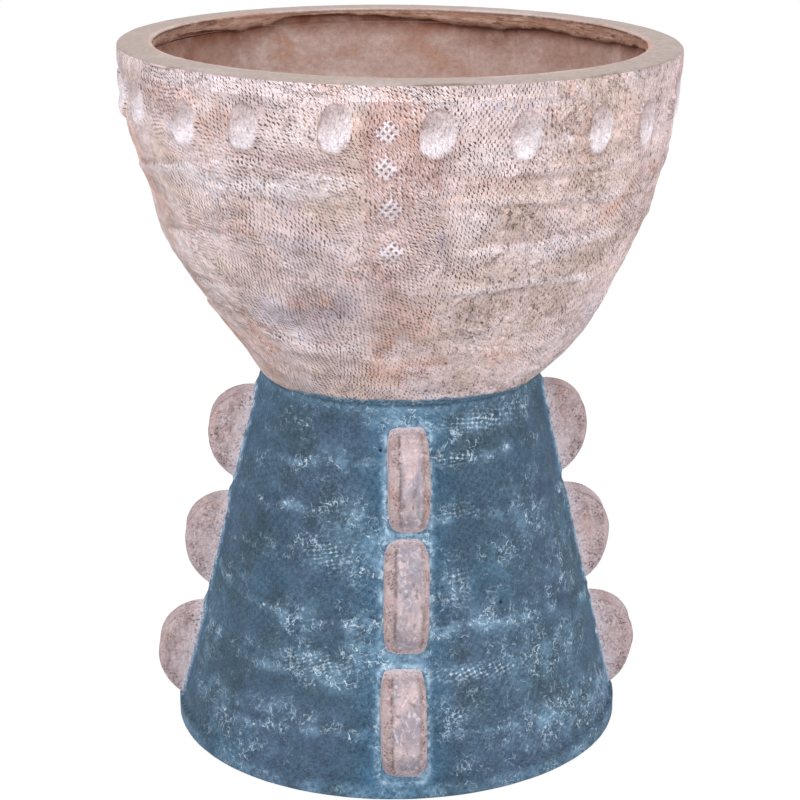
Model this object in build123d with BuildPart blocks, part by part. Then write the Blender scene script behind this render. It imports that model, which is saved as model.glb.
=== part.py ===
"""Round pedestal planter in hand-built clay, put together as a potter would.

A deep bowl of stacked coils stands on a hollow flared pedestal. A smooth coil closes the bowl's
mouth, a ring of leaning thumb prints runs round its uppermost coil, and four columns of three
thick coin-shaped fins are luted to the pedestal. Nothing moves.

Millimetres, +Z up. The origin is the centre of the foot's flat face, and one column of fins
faces -Y.
"""

import os

from build123d import *

os.makedirs("parts", exist_ok=True)

# ---- Pedestal ----
pedestal_height = 256.0  # foot face to the seat under the bowl
foot_radius = 158.5  # plain band round the foot
foot_band_height = 14.0
foot_step = 3.0  # how far the first coil stands back from the band
foot_edge_round = 4.0
foot_inner_round = 2.0
neck_radius = 99.0  # outside of the seat under the bowl
pedestal_wall = 16.0
pedestal_dip = 1.5  # how far the side curves in between foot and neck
pedestal_coils = 6
pedestal_coil_bulge = 1.2
pedestal_seam = 45.0  # degrees from +X, between two columns of fins

# ---- Bowl ----
bowl_height = 217.0  # seat to the underside of the rim coil
bowl_wall = 18.0
bowl_belly = 20.0  # how far the side arches out from the line between its ends
bowl_coils = 7
bowl_coil_bulge = 1.5
floor_thickness = 18.0
floor_cove = 24.0  # inside round between the floor and the wall
drain_radius = 12.5

# ---- Rim coil ----
rim_radius = 190.0
rim_width = 24.0
rim_height = 12.0
rim_lip = 1.0  # how far the rim stands out past the bowl's side
rim_top_round = 4.0
rim_under_round = 2.5

# ---- Thumb prints ----
print_count = 21
print_width = 20.0
print_length = 29.0
print_depth = 5.0
print_drop = 17.0  # from the bowl's upper edge down the side to a print's middle
print_lean = 9.0  # degrees, each print's top leans to the right, seen from outside
print_start = 4.0  # degrees from the front column to the first print

# ---- Fins ----
fin_reach = 26.0  # how far a fin stands out from the pedestal's side
fin_thickness = 30.0
fin_bevel = 5.0
fin_gap = 8.5  # along the side, between one fin and the next
fin_foot_lap = 3.0  # how far the lowest fin laps over the foot band
fin_neck_gap = 9.5  # along the side, from the top fin up to the bowl's seat
fin_root = 6.0  # clay cut away behind the side when a fin is scribed to it
fin_tiers = ("bottom", "middle", "top")
fin_columns = {"front": -90.0, "right": 0.0, "back": 90.0, "left": 180.0}  # degrees from +X

# ---- Sizes that follow from the ones above ----
bowl_top = pedestal_height + bowl_height
bowl_top_radius = rim_radius - rim_lip
floor_top = pedestal_height + floor_thickness
coil_radius = foot_radius - foot_step
pedestal_side = SagittaArc((coil_radius, foot_band_height), (neck_radius, pedestal_height), pedestal_dip)
bowl_side = SagittaArc((neck_radius, pedestal_height), (bowl_top_radius, bowl_top), -bowl_belly)
fin_pitch = (pedestal_side.length + fin_foot_lap - fin_neck_gap + fin_gap) / len(fin_tiers)
fin_length = fin_pitch - fin_gap
fin_radius = (fin_length**2 / 4 + fin_reach**2) / (2 * fin_reach)


def coil_outline(side, coils, bulge):
    """Lay one outward arc for each coil of clay along a side, from its lower end to its upper."""
    for coil in range(coils):
        SagittaArc(side @ (coil / coils), side @ ((coil + 1) / coils), -bulge)


def plane_on_side(side, distance, azimuth, lean=0.0):
    """Plane seated on a side: x points out of the clay, y runs up it and leans to the right."""
    point = side.position_at(distance, PositionMode.LENGTH)
    rise = side.tangent_at(distance, PositionMode.LENGTH)
    upright = Plane(origin=(point.X, 0, point.Y), x_dir=(rise.Y, 0, -rise.X), z_dir=(0, -1, 0))
    return Plane(Rotation(0, 0, azimuth) * upright.location * Rotation(-lean, 0, 0))


# ---- Solid outer form of the pedestal, which the fins are scribed to ----
with BuildPart() as pedestal_form:
    with BuildSketch(Plane.XZ.rotated((0, 0, pedestal_seam))):
        with BuildLine():
            foot_face = Line((0, 0), (foot_radius, 0))
            band = Line(foot_face @ 1, (foot_radius, foot_band_height))
            Line(band @ 1, pedestal_side @ 0)
            coil_outline(pedestal_side, pedestal_coils, pedestal_coil_bulge)
            seat = Line(pedestal_side @ 1, (0, pedestal_height))
            Line(seat @ 1, foot_face @ 0)
        make_face()
    revolve(axis=Axis.Z)
    fillet(pedestal_form.edges().group_by(Axis.Z)[0], foot_edge_round)

# ---- Pedestal: a flared tube, open at the foot and at the neck ----
with BuildPart() as pedestal:
    add(pedestal_form.part)
    Cone(
        coil_radius - pedestal_wall,
        neck_radius - pedestal_wall,
        pedestal_height,
        align=(Align.CENTER, Align.CENTER, Align.MIN),
        mode=Mode.SUBTRACT,
    )
    foot_edges = pedestal.edges().filter_by(GeomType.CIRCLE).group_by(Axis.Z)[0]
    fillet(foot_edges.sort_by(SortBy.RADIUS)[0], foot_inner_round)
pedestal.part.label = "pedestal"
export_step(pedestal.part, "parts/pedestal.step")

# ---- Bowl: coiled wall on a flat floor that closes the pedestal's neck ----
with BuildPart() as print_form:
    # A lemon-shaped form, its middle sunk into the wall by the depth of a print.
    waist = (print_width**2 / 4 + print_depth**2) / (2 * print_depth)
    sweep_radius = (print_length**2 / 4 + print_depth**2) / (2 * print_depth)
    half_length = (sweep_radius**2 - (sweep_radius - waist) ** 2) ** 0.5
    core = waist - print_depth
    first_print = fin_columns["front"] + print_start
    print_plane = plane_on_side(bowl_side, bowl_side.length - print_drop, first_print, print_lean)
    with BuildSketch(print_plane):
        with BuildLine():
            flank = ThreePointArc((core, -half_length), (-print_depth, 0), (core, half_length))
            Line(flank @ 1, flank @ 0)
        make_face()
    revolve(axis=Axis(print_plane.from_local_coords((core, 0, 0)), print_plane.y_dir))

with BuildPart() as bowl:
    with BuildSketch(Plane.XZ):
        with BuildLine():
            base = Line((0, pedestal_height), bowl_side @ 0)
            coil_outline(bowl_side, bowl_coils, bowl_coil_bulge)
            mouth = Line(bowl_side @ 1, (0, bowl_top))
            Line(mouth @ 1, base @ 0)
        make_face()
    revolve(axis=Axis.Z)
    with BuildSketch(Plane.XZ) as hollow:
        with Locations(bowl_side.arc_center):
            Circle(bowl_side.radius - bowl_wall)
        with Locations((0, floor_top)):
            Rectangle(rim_radius, bowl_top - floor_top, align=(Align.MIN, Align.MIN), mode=Mode.INTERSECT)
        fillet(hollow.vertices().group_by(Axis.Y)[0].sort_by(Axis.X)[-1], floor_cove)
    revolve(axis=Axis.Z, mode=Mode.SUBTRACT)
    with PolarLocations(0, print_count):
        add(print_form.part, mode=Mode.SUBTRACT)
    with Locations((0, 0, floor_top)):
        Hole(drain_radius)
bowl.part.label = "bowl"
export_step(bowl.part, "parts/bowl.step")

# ---- Rim: a smooth flat-topped coil that overhangs the wall inside ----
with BuildPart() as rim:
    with BuildSketch(Plane.XZ) as rim_section:
        with Locations((rim_radius, bowl_top)):
            Rectangle(rim_width, rim_height, align=(Align.MAX, Align.MIN))
        corners = rim_section.vertices()
        fillet(corners.group_by(Axis.Y)[-1], rim_top_round)
        fillet(corners.group_by(Axis.Y)[0].sort_by(Axis.X)[0], rim_under_round)
    revolve(axis=Axis.Z)
rim.part.label = "rim"
export_step(rim.part, "parts/rim.step")

# ---- Fins: thick bevelled discs, scribed to the pedestal and luted on in columns ----
for column, azimuth in fin_columns.items():
    for tier, tier_name in enumerate(fin_tiers):
        middle = fin_length / 2 - fin_foot_lap + tier * fin_pitch
        fin_plane = plane_on_side(pedestal_side, middle, azimuth)
        fin_name = f"fin_{column}_{tier_name}"
        with BuildPart() as fin:
            with BuildSketch(fin_plane):
                with Locations((fin_reach - fin_radius, 0)):
                    Circle(fin_radius)
                with Locations((fin_reach, 0)):
                    Rectangle(
                        fin_reach + fin_root,
                        2 * fin_radius,
                        align=(Align.MAX, Align.CENTER),
                        mode=Mode.INTERSECT,
                    )
            extrude(amount=fin_thickness / 2, both=True)
            chamfer(fin.edges().filter_by(GeomType.CIRCLE), fin_bevel)
            add(pedestal_form.part, mode=Mode.SUBTRACT)
        fin.part.label = fin_name
        export_step(fin.part, f"parts/{fin_name}.step")
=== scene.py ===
"""Looks of a round pedestal planter in hand-built clay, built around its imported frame.

The planter is turned and pressed here as a potter would make it: a coiled bowl wrapped in damp
sacking, with a ring of thumb prints and a column of pressed squares, a smoothed rim, a flared
pedestal under slate-blue slip, and twelve coin-shaped fins luted on in four columns. Metres, +Z
up, the origin at the centre of the foot, and one column of fins faces -Y.
"""

from __future__ import annotations

import logging
import math
from dataclasses import dataclass, field
from enum import Enum
from typing import Callable, Sequence, Union

import bpy
import numpy as np
from bpy.types import ID, Material, Mesh, Node, NodeSocket, NodeTree, Object
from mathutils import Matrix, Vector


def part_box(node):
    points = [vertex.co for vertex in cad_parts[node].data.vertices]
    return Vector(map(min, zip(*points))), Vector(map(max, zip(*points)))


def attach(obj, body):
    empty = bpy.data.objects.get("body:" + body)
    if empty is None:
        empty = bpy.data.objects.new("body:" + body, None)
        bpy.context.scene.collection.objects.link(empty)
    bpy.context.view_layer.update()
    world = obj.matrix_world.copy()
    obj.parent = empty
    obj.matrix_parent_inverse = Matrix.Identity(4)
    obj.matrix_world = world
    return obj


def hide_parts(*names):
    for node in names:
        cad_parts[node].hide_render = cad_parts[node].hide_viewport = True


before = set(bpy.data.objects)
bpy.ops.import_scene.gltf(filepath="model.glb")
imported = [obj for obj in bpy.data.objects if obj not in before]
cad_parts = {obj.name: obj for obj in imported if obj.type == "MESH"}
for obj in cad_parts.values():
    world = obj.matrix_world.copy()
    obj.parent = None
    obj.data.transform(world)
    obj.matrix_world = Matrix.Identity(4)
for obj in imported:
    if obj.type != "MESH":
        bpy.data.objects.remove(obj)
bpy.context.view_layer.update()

logging.basicConfig(level=logging.INFO, format="%(levelname)s %(message)s")
log = logging.getLogger("planter")

BODY = "root"
MM = 0.001

Array = np.ndarray
Colour = tuple[float, float, float]
Value = Union["Signal", float, int, tuple, str, bool]
Inputs = dict[Union[str, int], Value]
Row = tuple[float, ...]
Steps = Sequence[tuple["Recipe", dict[str, object]]]


def clay(red: int, green: int, blue: int) -> Colour:
    """Scene-linear colour of a paint chip given in display values from 0 to 255."""
    chip = np.array([red, green, blue]) / 255
    linear = np.where(chip <= 0.04045, chip / 12.92, ((chip + 0.055) / 1.055) ** 2.4)
    return tuple(float(part) for part in linear)


# ---------------------------------------------------------------- node wiring


def arithmetic(operation: str, turned: bool = False) -> Callable[[Signal, Value], Signal]:
    """A signal's method for one operation, with the signal first, or last where it is turned."""

    def apply(self: Signal, other: Value) -> Signal:
        """The operation's result."""
        pair = (other, self) if turned else (self, other)
        return self.wiring.math(operation, *pair)

    return apply


class Signal:
    """One number, vector or colour on its way through a node tree, with ordinary arithmetic."""

    __add__, __radd__ = arithmetic("ADD"), arithmetic("ADD", turned=True)
    __sub__, __rsub__ = arithmetic("SUBTRACT"), arithmetic("SUBTRACT", turned=True)
    __mul__, __rmul__ = arithmetic("MULTIPLY"), arithmetic("MULTIPLY", turned=True)
    __truediv__, __pow__ = arithmetic("DIVIDE"), arithmetic("POWER")

    def __init__(self, wiring: Wiring, socket: NodeSocket) -> None:
        """Keep the tree's wiring beside the socket that carries the value."""
        self.wiring = wiring
        self.socket = socket

    def __neg__(self) -> Signal:
        """The number with its sign turned."""
        return self * -1.0


class Wiring:
    """Adds nodes to one tree and joins them, so that a recipe reads as a formula."""

    def __init__(self, tree: NodeTree) -> None:
        """Start wiring an empty tree."""
        self.tree = tree

    def plug(self, socket: NodeSocket, value: Value) -> None:
        """Link a signal to a socket, or set the socket's own value.

        Args:
            socket: the input to feed.
            value: a signal, or a plain value of the socket's kind.
        """
        if isinstance(value, Signal):
            self.tree.links.new(value.socket, socket)
        elif socket.type == "RGBA" and len(value) == 3:
            socket.default_value = (*value, 1.0)
        else:
            socket.default_value = value

    def node(self, kind: str, inputs: Inputs, **settings: object) -> Node:
        """Add a node.

        Args:
            kind: the node's type name.
            inputs: values or signals by input name or index.
            settings: the node's own options, set before its inputs.

        Returns:
            The new node.
        """
        made = self.tree.nodes.new(kind)
        for name, option in settings.items():
            setattr(made, name, option)
        for name, value in inputs.items():
            self.plug(made.inputs[name], value)
        return made

    def signal(self, kind: str, inputs: Inputs, output: Union[str, int] = 0, **settings: object) -> Signal:
        """Add a node and return one of its outputs as a signal."""
        return Signal(self, self.node(kind, inputs, **settings).outputs[output])

    def math(self, operation: str, *values: Value, clamp: bool = False) -> Signal:
        """Arithmetic on numbers, by the operation's name."""
        return self.signal("ShaderNodeMath", dict(enumerate(values)), operation=operation, use_clamp=clamp)

    def vector(self, operation: str, *values: Value) -> Signal:
        """Arithmetic on vectors with a vector result."""
        return self.signal("ShaderNodeVectorMath", dict(enumerate(values)), operation=operation)

    def dot(self, first: Value, second: Value) -> Signal:
        """Dot product of two vectors."""
        return self.signal("ShaderNodeVectorMath", {0: first, 1: second}, "Value", operation="DOT_PRODUCT")

    def scaled(self, vector: Value, factor: Value) -> Signal:
        """A vector times a number."""
        return self.signal("ShaderNodeVectorMath", {0: vector, "Scale": factor}, operation="SCALE")

    def combined(self, x: Value, y: Value, z: Value) -> Signal:
        """A vector from three numbers."""
        return self.signal("ShaderNodeCombineXYZ", {0: x, 1: y, 2: z})

    def parts(self, vector: Value) -> tuple[Signal, Signal, Signal]:
        """The three numbers of a vector."""
        split = self.node("ShaderNodeSeparateXYZ", {0: vector})
        return tuple(Signal(self, output) for output in split.outputs)

    def ramp(self, value: Value, low: float, high: float, start: float = 0.0, end: float = 1.0) -> Signal:
        """Smooth step from start to end as value goes from low to high."""
        inputs = {"Value": value, "From Min": low, "From Max": high, "To Min": start, "To Max": end}
        return self.signal("ShaderNodeMapRange", inputs, interpolation_type="SMOOTHSTEP")

    def least(self, first: Value, second: Value) -> Signal:
        """The smaller of two numbers."""
        return self.math("MINIMUM", first, second)

    def most(self, first: Value, second: Value) -> Signal:
        """The larger of two numbers."""
        return self.math("MAXIMUM", first, second)

    def clamp(self, value: Value) -> Signal:
        """A number kept from 0 to 1."""
        return self.math("ADD", value, 0.0, clamp=True)

    def absolute(self, value: Value) -> Signal:
        """A number without its sign."""
        return self.math("ABSOLUTE", value)

    def cosine(self, turns: Value) -> Signal:
        """Cosine of pi times a number."""
        return self.math("COSINE", self.math("MULTIPLY", turns, math.pi))

    def seen(self) -> Signal:
        """1 where the camera looks straight at a thing or sees it mirrored, else 0."""
        path = self.node("ShaderNodeLightPath", {})
        straight, mirrored = (Signal(self, path.outputs[f"Is {ray} Ray"]) for ray in ("Camera", "Glossy"))
        return self.most(straight, mirrored)

    def noise(
        self, vector: Value, scale: float, detail: float = 2.0, roughness: float = 0.55, seed: Value = 0.0
    ) -> Signal:
        """Smooth noise, mostly from 0.3 to 0.7.

        Args:
            vector: where to read it.
            scale: how many swells in a metre.
            detail: how many finer layers lie on the first.
            roughness: how strong the finer layers are.
            seed: another place in the same noise.

        Returns:
            The noise's value.
        """
        inputs = {"Vector": vector, "W": seed, "Scale": scale, "Detail": detail, "Roughness": roughness}
        return self.signal("ShaderNodeTexNoise", inputs, "Fac", noise_dimensions="4D")

    def noise_vector(self, vector: Value, scale: float, amount: float, seed: float = 0.0) -> Signal:
        """A small shift in every direction, centred on none, for bending a pattern."""
        inputs = {"Vector": vector, "W": seed, "Scale": scale, "Detail": 2.0}
        colour = self.signal("ShaderNodeTexNoise", inputs, "Color", noise_dimensions="4D")
        return self.scaled(self.vector("SUBTRACT", colour, (0.5, 0.5, 0.5)), amount)


class Dye(Wiring):
    """Wiring of a material's tree."""

    def __init__(self, name: str) -> None:
        """Start an empty material of that name."""
        self.material = bpy.data.materials.new(name)
        self.material.use_nodes = True
        self.material.node_tree.nodes.clear()
        super().__init__(self.material.node_tree)
        self.place = self.signal("ShaderNodeTexCoord", {}, "Object")
        self.colour: Value = (1.0, 1.0, 1.0)

    def mark(self, name: str) -> Signal:
        """A number stored on the mesh's points."""
        return self.signal("ShaderNodeAttribute", {}, "Fac", attribute_name=name)

    def mark_vector(self, name: str) -> tuple[Signal, Signal, Signal]:
        """The three numbers of a vector stored on the mesh's points."""
        return self.parts(self.signal("ShaderNodeAttribute", {}, "Vector", attribute_name=name))

    def coat(self, amount: Value, under: Value, over: Value) -> Signal:
        """Lay one colour over another by an amount from 0 to 1."""
        inputs = {"Factor": amount, 6: under, 7: over}
        return self.signal("ShaderNodeMix", inputs, 2, data_type="RGBA", clamp_factor=True)

    def layer(self, amount: Value, over: Value) -> None:
        """Lay a colour over the surface by an amount from 0 to 1."""
        self.colour = self.coat(amount, self.colour, over)

    def tone(self, factor: Value) -> None:
        """Make the surface lighter or darker by a number."""
        self.colour = self.scaled(self.colour, factor)

    def patches(
        self,
        grain: Row,
        low: float,
        high: float,
        start: float = 0.0,
        end: float = 1.0,
        place: Signal | None = None,
    ) -> Signal:
        """Ragged patches where noise passes a level.

        Args:
            grain: the noise's scale, detail, roughness and seed.
            low: the noise where a patch starts.
            high: the noise where it is full; the smaller of the two for patches of low noise.
            start: its strength outside.
            end: its strength inside.
            place: where the noise is read, unless at the surface's own place.

        Returns:
            The patches' strength.
        """
        where = self.place if place is None else place
        return self.ramp(self.noise(where, *grain), low, high, start, end)

    def veins(self, grain: Row, wide: float, thin: float, place: Signal | None = None) -> Signal:
        """Thin winding lines where noise passes its middle, full at thin and gone at wide."""
        where = self.place if place is None else place
        return self.ramp(self.absolute(self.noise(where, *grain) - 0.5), wide, thin)

    def stretched(self, x: float, y: float, z: float, place: Signal | None = None) -> Signal:
        """A place whose noise is drawn out where a factor is under 1 and squeezed where it is over."""
        return self.vector("MULTIPLY", self.place if place is None else place, (x, y, z))

    def finish(self, height: Value, depth: float, roughness: float, sheen: float) -> Material:
        """Close the recipe with a matte clay surface.

        Args:
            height: the fine relief, from 0 to 1.
            depth: how deep that relief is, in metres.
            roughness: from 0, polished, to 1, chalky.
            sheen: specular level of the dry surface.

        Returns:
            The finished material.
        """
        bump = self.signal("ShaderNodeBump", {"Height": height, "Distance": depth, "Strength": 1.0})
        inputs = {"Base Color": self.colour, "Roughness": roughness, "Specular IOR Level": sheen}
        surface = self.signal("ShaderNodeBsdfPrincipled", {**inputs, "Normal": bump})
        self.node("ShaderNodeOutputMaterial", {"Surface": surface})
        return self.material


# ---------------------------------------------------------------- finishes


@dataclass(frozen=True)
class Weave:
    """What damp sacking leaves in clay.

    Args (fields):
        dash: the dents of single threads and the tears between them, 0 to 1.
        net: the raised clay to one side of each dent, which the bowl paints as a highlight so that the weave
            looks embossed, 0 to 1.
        cross: thin lines where threads lay side by side and across, 0 to 1.
    """

    dash: Signal
    net: Signal
    cross: Signal


@dataclass(frozen=True)
class Sacking:
    """Sacking pressed into clay in ragged patches, some clean and some dragged into tears."""

    weft: float = 1.4 * MM  # half of the way from one dent to the next along a row
    warp: float = 2.7 * MM  # from one row of dents to the next
    patch: float = 46 * MM
    ragged: float = 60 * MM
    swing: float = 0.7  # radians between the most different patches
    slant: float = 0.42  # radians that the dents lean to the left in front
    unwind: float = -2.0  # radians that the lean changes by in a metre towards +X
    wander: float = 7.0 * MM
    fray: float = 2.6 * MM
    tear: float = 500.0  # tears in a metre, along a row
    dragged: float = 0.9  # how much more of the cloth dragged towards +X
    seed: float = 0.0

    def press(self, dye: Dye) -> Weave:
        """Read the cloth's mark at each point.

        Args:
            dye: the material's wiring.

        Returns:
            The weave's signals.
        """
        shift = (self.seed, 0.0, 0.0)
        bent = dye.vector("ADD", dye.place, dye.noise_vector(dye.place, 22.0, self.ragged, self.seed))
        bent = dye.vector("ADD", bent, shift)
        cells = dye.node("ShaderNodeTexVoronoi", {"Vector": bent, "Scale": 1 / self.patch})
        centre = dye.vector("SUBTRACT", Signal(dye, cells.outputs["Position"]), shift)
        turn, stretch, lot = dye.parts(Signal(dye, cells.outputs["Color"]))
        centre_x, centre_y, _ = dye.parts(centre)
        sideways = dye.vector("NORMALIZE", dye.combined(-centre_y, centre_x, 0.0))
        slow = dye.parts(dye.noise_vector(dye.place, 48.0, self.wander, self.seed))
        quick = dye.parts(dye.noise_vector(dye.place, 200.0, self.fray, self.seed + 1.0))
        fine = dye.parts(dye.noise_vector(dye.place, 520.0, self.fray * 0.4, self.seed + 2.0))
        across = dye.dot(dye.vector("SUBTRACT", dye.place, centre), sideways) + slow[0] + quick[0] + fine[0]
        along = dye.mark("rise") + slow[1] + quick[1] + fine[1]
        angle = (turn - 0.5) * self.swing + centre_x * self.unwind + self.slant
        sine, cosine = dye.math("SINE", angle), dye.math("COSINE", angle)
        sidelong, upward = across * cosine + along * sine, along * cosine - across * sine
        weft = sidelong / ((stretch * 0.4 + 0.85) * self.weft)
        warp = upward / ((lot * 0.3 + 0.85) * self.warp)
        cos_weft, cos_warp = dye.cosine(weft), dye.cosine(warp)
        size_weft, size_warp = dye.absolute(cos_weft), dye.absolute(cos_warp)
        tall = dye.most(dye.least(cos_warp * 2.2, 1.0), -1.0)
        dents = dye.ramp(cos_weft * tall * size_weft, 0.22, 0.72)
        # a line to one side of each dent: raised clay, and on the bowl a painted highlight
        beside = dye.ramp(dye.cosine(weft + 0.5) * tall, 0.25, 0.9)
        grain = dye.noise(dye.combined(sidelong, upward * 0.5, turn), self.tear, 3.0, 0.62, self.seed + 3.0)
        part = dye.noise(dye.place, 13.0, 3.0, 0.55, self.seed + 4.0) + centre_x * self.dragged
        kind = dye.ramp(part, 0.5, 0.62)
        dash = dents * (1.0 - kind * 0.6) + dye.ramp(grain, 0.46, 0.36) * kind * 0.72
        net = beside * (1.0 - kind * 0.6) + dye.ramp(grain, 0.52, 0.62) * kind * 0.8
        cross = dye.ramp(size_weft, 0.84, 0.97) * size_warp + dye.ramp(size_warp, 0.8, 0.97) * size_weft
        return Weave(dash, net, dye.clamp(cross))


@dataclass(frozen=True)
class BowlClay:
    """Pinkish grog clay, wrapped in sacking, washed dark in its pits and dry-brushed white, with painted
    shade in its creases and painted light on its prints, beside the dents of its weave and on the lapped
    slip.
    """

    body: Colour = clay(229, 203, 199)
    sand: Colour = clay(223, 195, 182)
    peach: Colour = clay(227, 172, 148)
    ash: Colour = clay(188, 186, 206)
    rust: Colour = clay(196, 155, 146)
    pit: Colour = clay(104, 79, 75)
    chalk: Colour = clay(252, 241, 250)
    # the next two colours paint shade at the prints' top left and a highlight at their bottom right; the
    # second also colours the wear
    shaded: Colour = clay(192, 172, 172)
    pale_and_highlight: Colour = clay(246, 237, 242)
    # painted shade in the coils' creases, along the front band's edges, under the rim's top edge and at the
    # prints' upper-left edges
    crease: Colour = clay(140, 108, 103)
    stain: Colour = clay(146, 152, 178)
    # the slip lapped onto the bowl, painted lighter than the pedestal's as painted light on the underside,
    # which faces down into shade
    slip: Colour = clay(98, 130, 154)
    tick: Colour = clay(190, 216, 236)
    weave: Sacking = Sacking()

    def tint(self, dye: Dye) -> None:
        """Lay down the clay's own colour, in wide soft patches."""
        dye.colour = self.body
        dye.layer(dye.patches((9, 3, 0.55, 1.0), 0.44, 0.6), self.sand)
        dye.layer(dye.patches((19, 4, 0.6, 2.0), 0.51, 0.64) * 0.75, self.peach)
        dye.layer(dye.patches((15, 4, 0.6, 2.5), 0.52, 0.66) * 0.55, self.ash)
        dye.layer(dye.mark("rust") * dye.patches((34, 4, 0.6, 2.8), 0.34, 0.56, 0.3, 0.95), self.rust)

    def thumbed(self, dye: Dye, cross: Signal, amount: Signal) -> None:
        """Colour the prints with painted shade at the top left, a pale, scratched painted highlight towards
        the bottom right, and a painted shadow along the upper left of the print's edge.

        Args:
            dye: the material's wiring.
            cross: thin lines of the cloth.
            amount: how far inside a print, 0 to 1.
        """
        _, rise, across = dye.mark_vector("thumb")
        scratch = dye.noise(dye.stretched(1.0, 1.0, 0.6), 560, 3, 0.65, 10.0)
        # painted light: darker towards the print's top left and paler towards its bottom right, with more
        # chalk on the lit side
        lit = dye.ramp(across * 0.5 - rise * 0.8, -0.7, 0.7)
        print_light_and_shade = dye.coat(lit, self.shaded, self.pale_and_highlight)
        print_light_and_shade = dye.coat(dye.most(dye.ramp(scratch, 0.47, 0.6), cross) * (lit * 0.8 + 0.2), print_light_and_shade, self.chalk)
        print_light_and_shade = dye.coat(dye.ramp(scratch, 0.44, 0.34) * 0.5, print_light_and_shade, self.pit)
        dye.layer(amount * 0.9, print_light_and_shade)
        # painted shadow along the upper left of the print's edge
        brim_shadow = amount * (1.0 - amount) * 4.0 * dye.ramp(across * 0.8 - rise * 0.3, 0.2, -0.5)
        dye.layer(brim_shadow * 0.45, self.crease)

    def folded(self, dye: Dye) -> None:
        """Colour the pressed squares: a lattice of pale threads over dark gaps."""
        amount, rise, across = dye.mark_vector("square")
        wobble = dye.parts(dye.noise_vector(dye.place, 300.0, 0.35, 11.0))
        up = dye.absolute(dye.cosine((rise + wobble[0]) * 1.75))
        over = dye.absolute(dye.cosine((across + wobble[1]) * 1.75))
        thread = dye.ramp(dye.most(up, over), 0.6, 0.88)
        inside = dye.ramp(amount + wobble[2] * 1.2, 0.14, 0.5)
        dye.layer(inside * (1.0 - thread) * 0.5, self.pit)
        broken = dye.patches((420, 3, 0.65, 12.0), 0.38, 0.54, 0.4, 1.0)
        dye.layer(inside * thread * broken * 0.9, self.chalk)

    def mix(self) -> Material:
        """Build the material."""
        dye = Dye("bowl_clay")
        weave = self.weave.press(dye)
        place = dye.place
        self.tint(dye)
        crumbs = dye.noise(place, 620, 3, 0.7, 3.0)
        lumps = dye.noise(place, 150, 4, 0.68, 4.0)
        rubbed = dye.patches((26, 4, 0.62, 5.0), 0.4, 0.62)
        missing = dye.patches((240, 3, 0.62, 6.0), 0.4, 0.54, 0.1, 1.0)
        thumb_in, _, _ = dye.mark_vector("thumb")
        inside_thumb = dye.ramp(thumb_in * (lumps * 1.4 + 0.3), 0.12, 0.66)
        dents = weave.dash * missing * (1.0 - rubbed * 0.4) * (1.0 - inside_thumb * 0.85)
        pores = dye.ramp(crumbs, 0.42, 0.3) * (1.0 - inside_thumb * 0.6)
        torn = dye.veins((85, 4, 0.65, 7.0), 0.014, 0.003)
        torn = torn * dye.patches((24, 3, 0.6, 8.0), 0.48, 0.6) * (1.0 - inside_thumb)
        brushed = dye.patches((17, 4, 0.65, 9.0), 0.48, 0.66) * 0.6 + dye.mark("wear")
        # dry-brushed chalk, which also paints a highlight beside each dent of the weave
        dry = dye.ramp(crumbs, 0.44, 0.62) * 0.6 + weave.net * 0.7
        dye.tone(dye.ramp(rubbed + brushed * 0.4, 0.0, 1.0, 0.92, 1.08))
        dye.layer(dye.clamp(dye.mark("wear")) * 0.35, self.pale_and_highlight)
        dye.layer(dye.clamp((brushed + rubbed * 0.45 + 0.25) * dry), self.chalk)
        dye.layer(dye.mark("stain") * dye.ramp(lumps, 0.4, 0.62), self.stain)
        self.thumbed(dye, weave.cross, inside_thumb)
        dye.layer(dye.clamp(dents * 1.05 + pores * 0.32 + torn * 0.35), self.pit)
        self.folded(dye)
        # painted shade in the coils' creases, along the front band's edges and under the rim's top edge, and
        # darker patches low on the front
        dye.layer(dye.mark("dirt") * dye.ramp(lumps, 0.34, 0.56, 0.3, 0.85), self.crease)
        dye.tone(dye.ramp(lumps, 0.32, 0.68, 0.88, 1.12))
        strokes = dye.noise(dye.stretched(0.4, 0.4, 2.6), 48, 4, 0.62, 13.0)
        dye.tone(dye.ramp(strokes, 0.34, 0.66, 0.9, 1.1))
        # painted light: the lapped slip is lighter than the pedestal's, to offset the shade under the bowl
        slip = dye.scaled(self.slip, dye.ramp(crumbs, 0.3, 0.7, 0.55, 1.45))
        slip = dye.coat(dye.ramp(lumps, 0.5, 0.6) * dye.ramp(crumbs, 0.45, 0.58) * 0.7, slip, self.tick)
        dye.layer(dye.mark("slip"), slip)
        dye.layer(dye.mark("edge") * dye.ramp(lumps, 0.42, 0.56), self.chalk)
        height = weave.net * 0.5 + crumbs * 0.5 + lumps * 1.6 - dents * 0.9 - torn * 0.6
        return dye.finish(height, 1.2 * MM, 0.92, 0.2)


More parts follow.
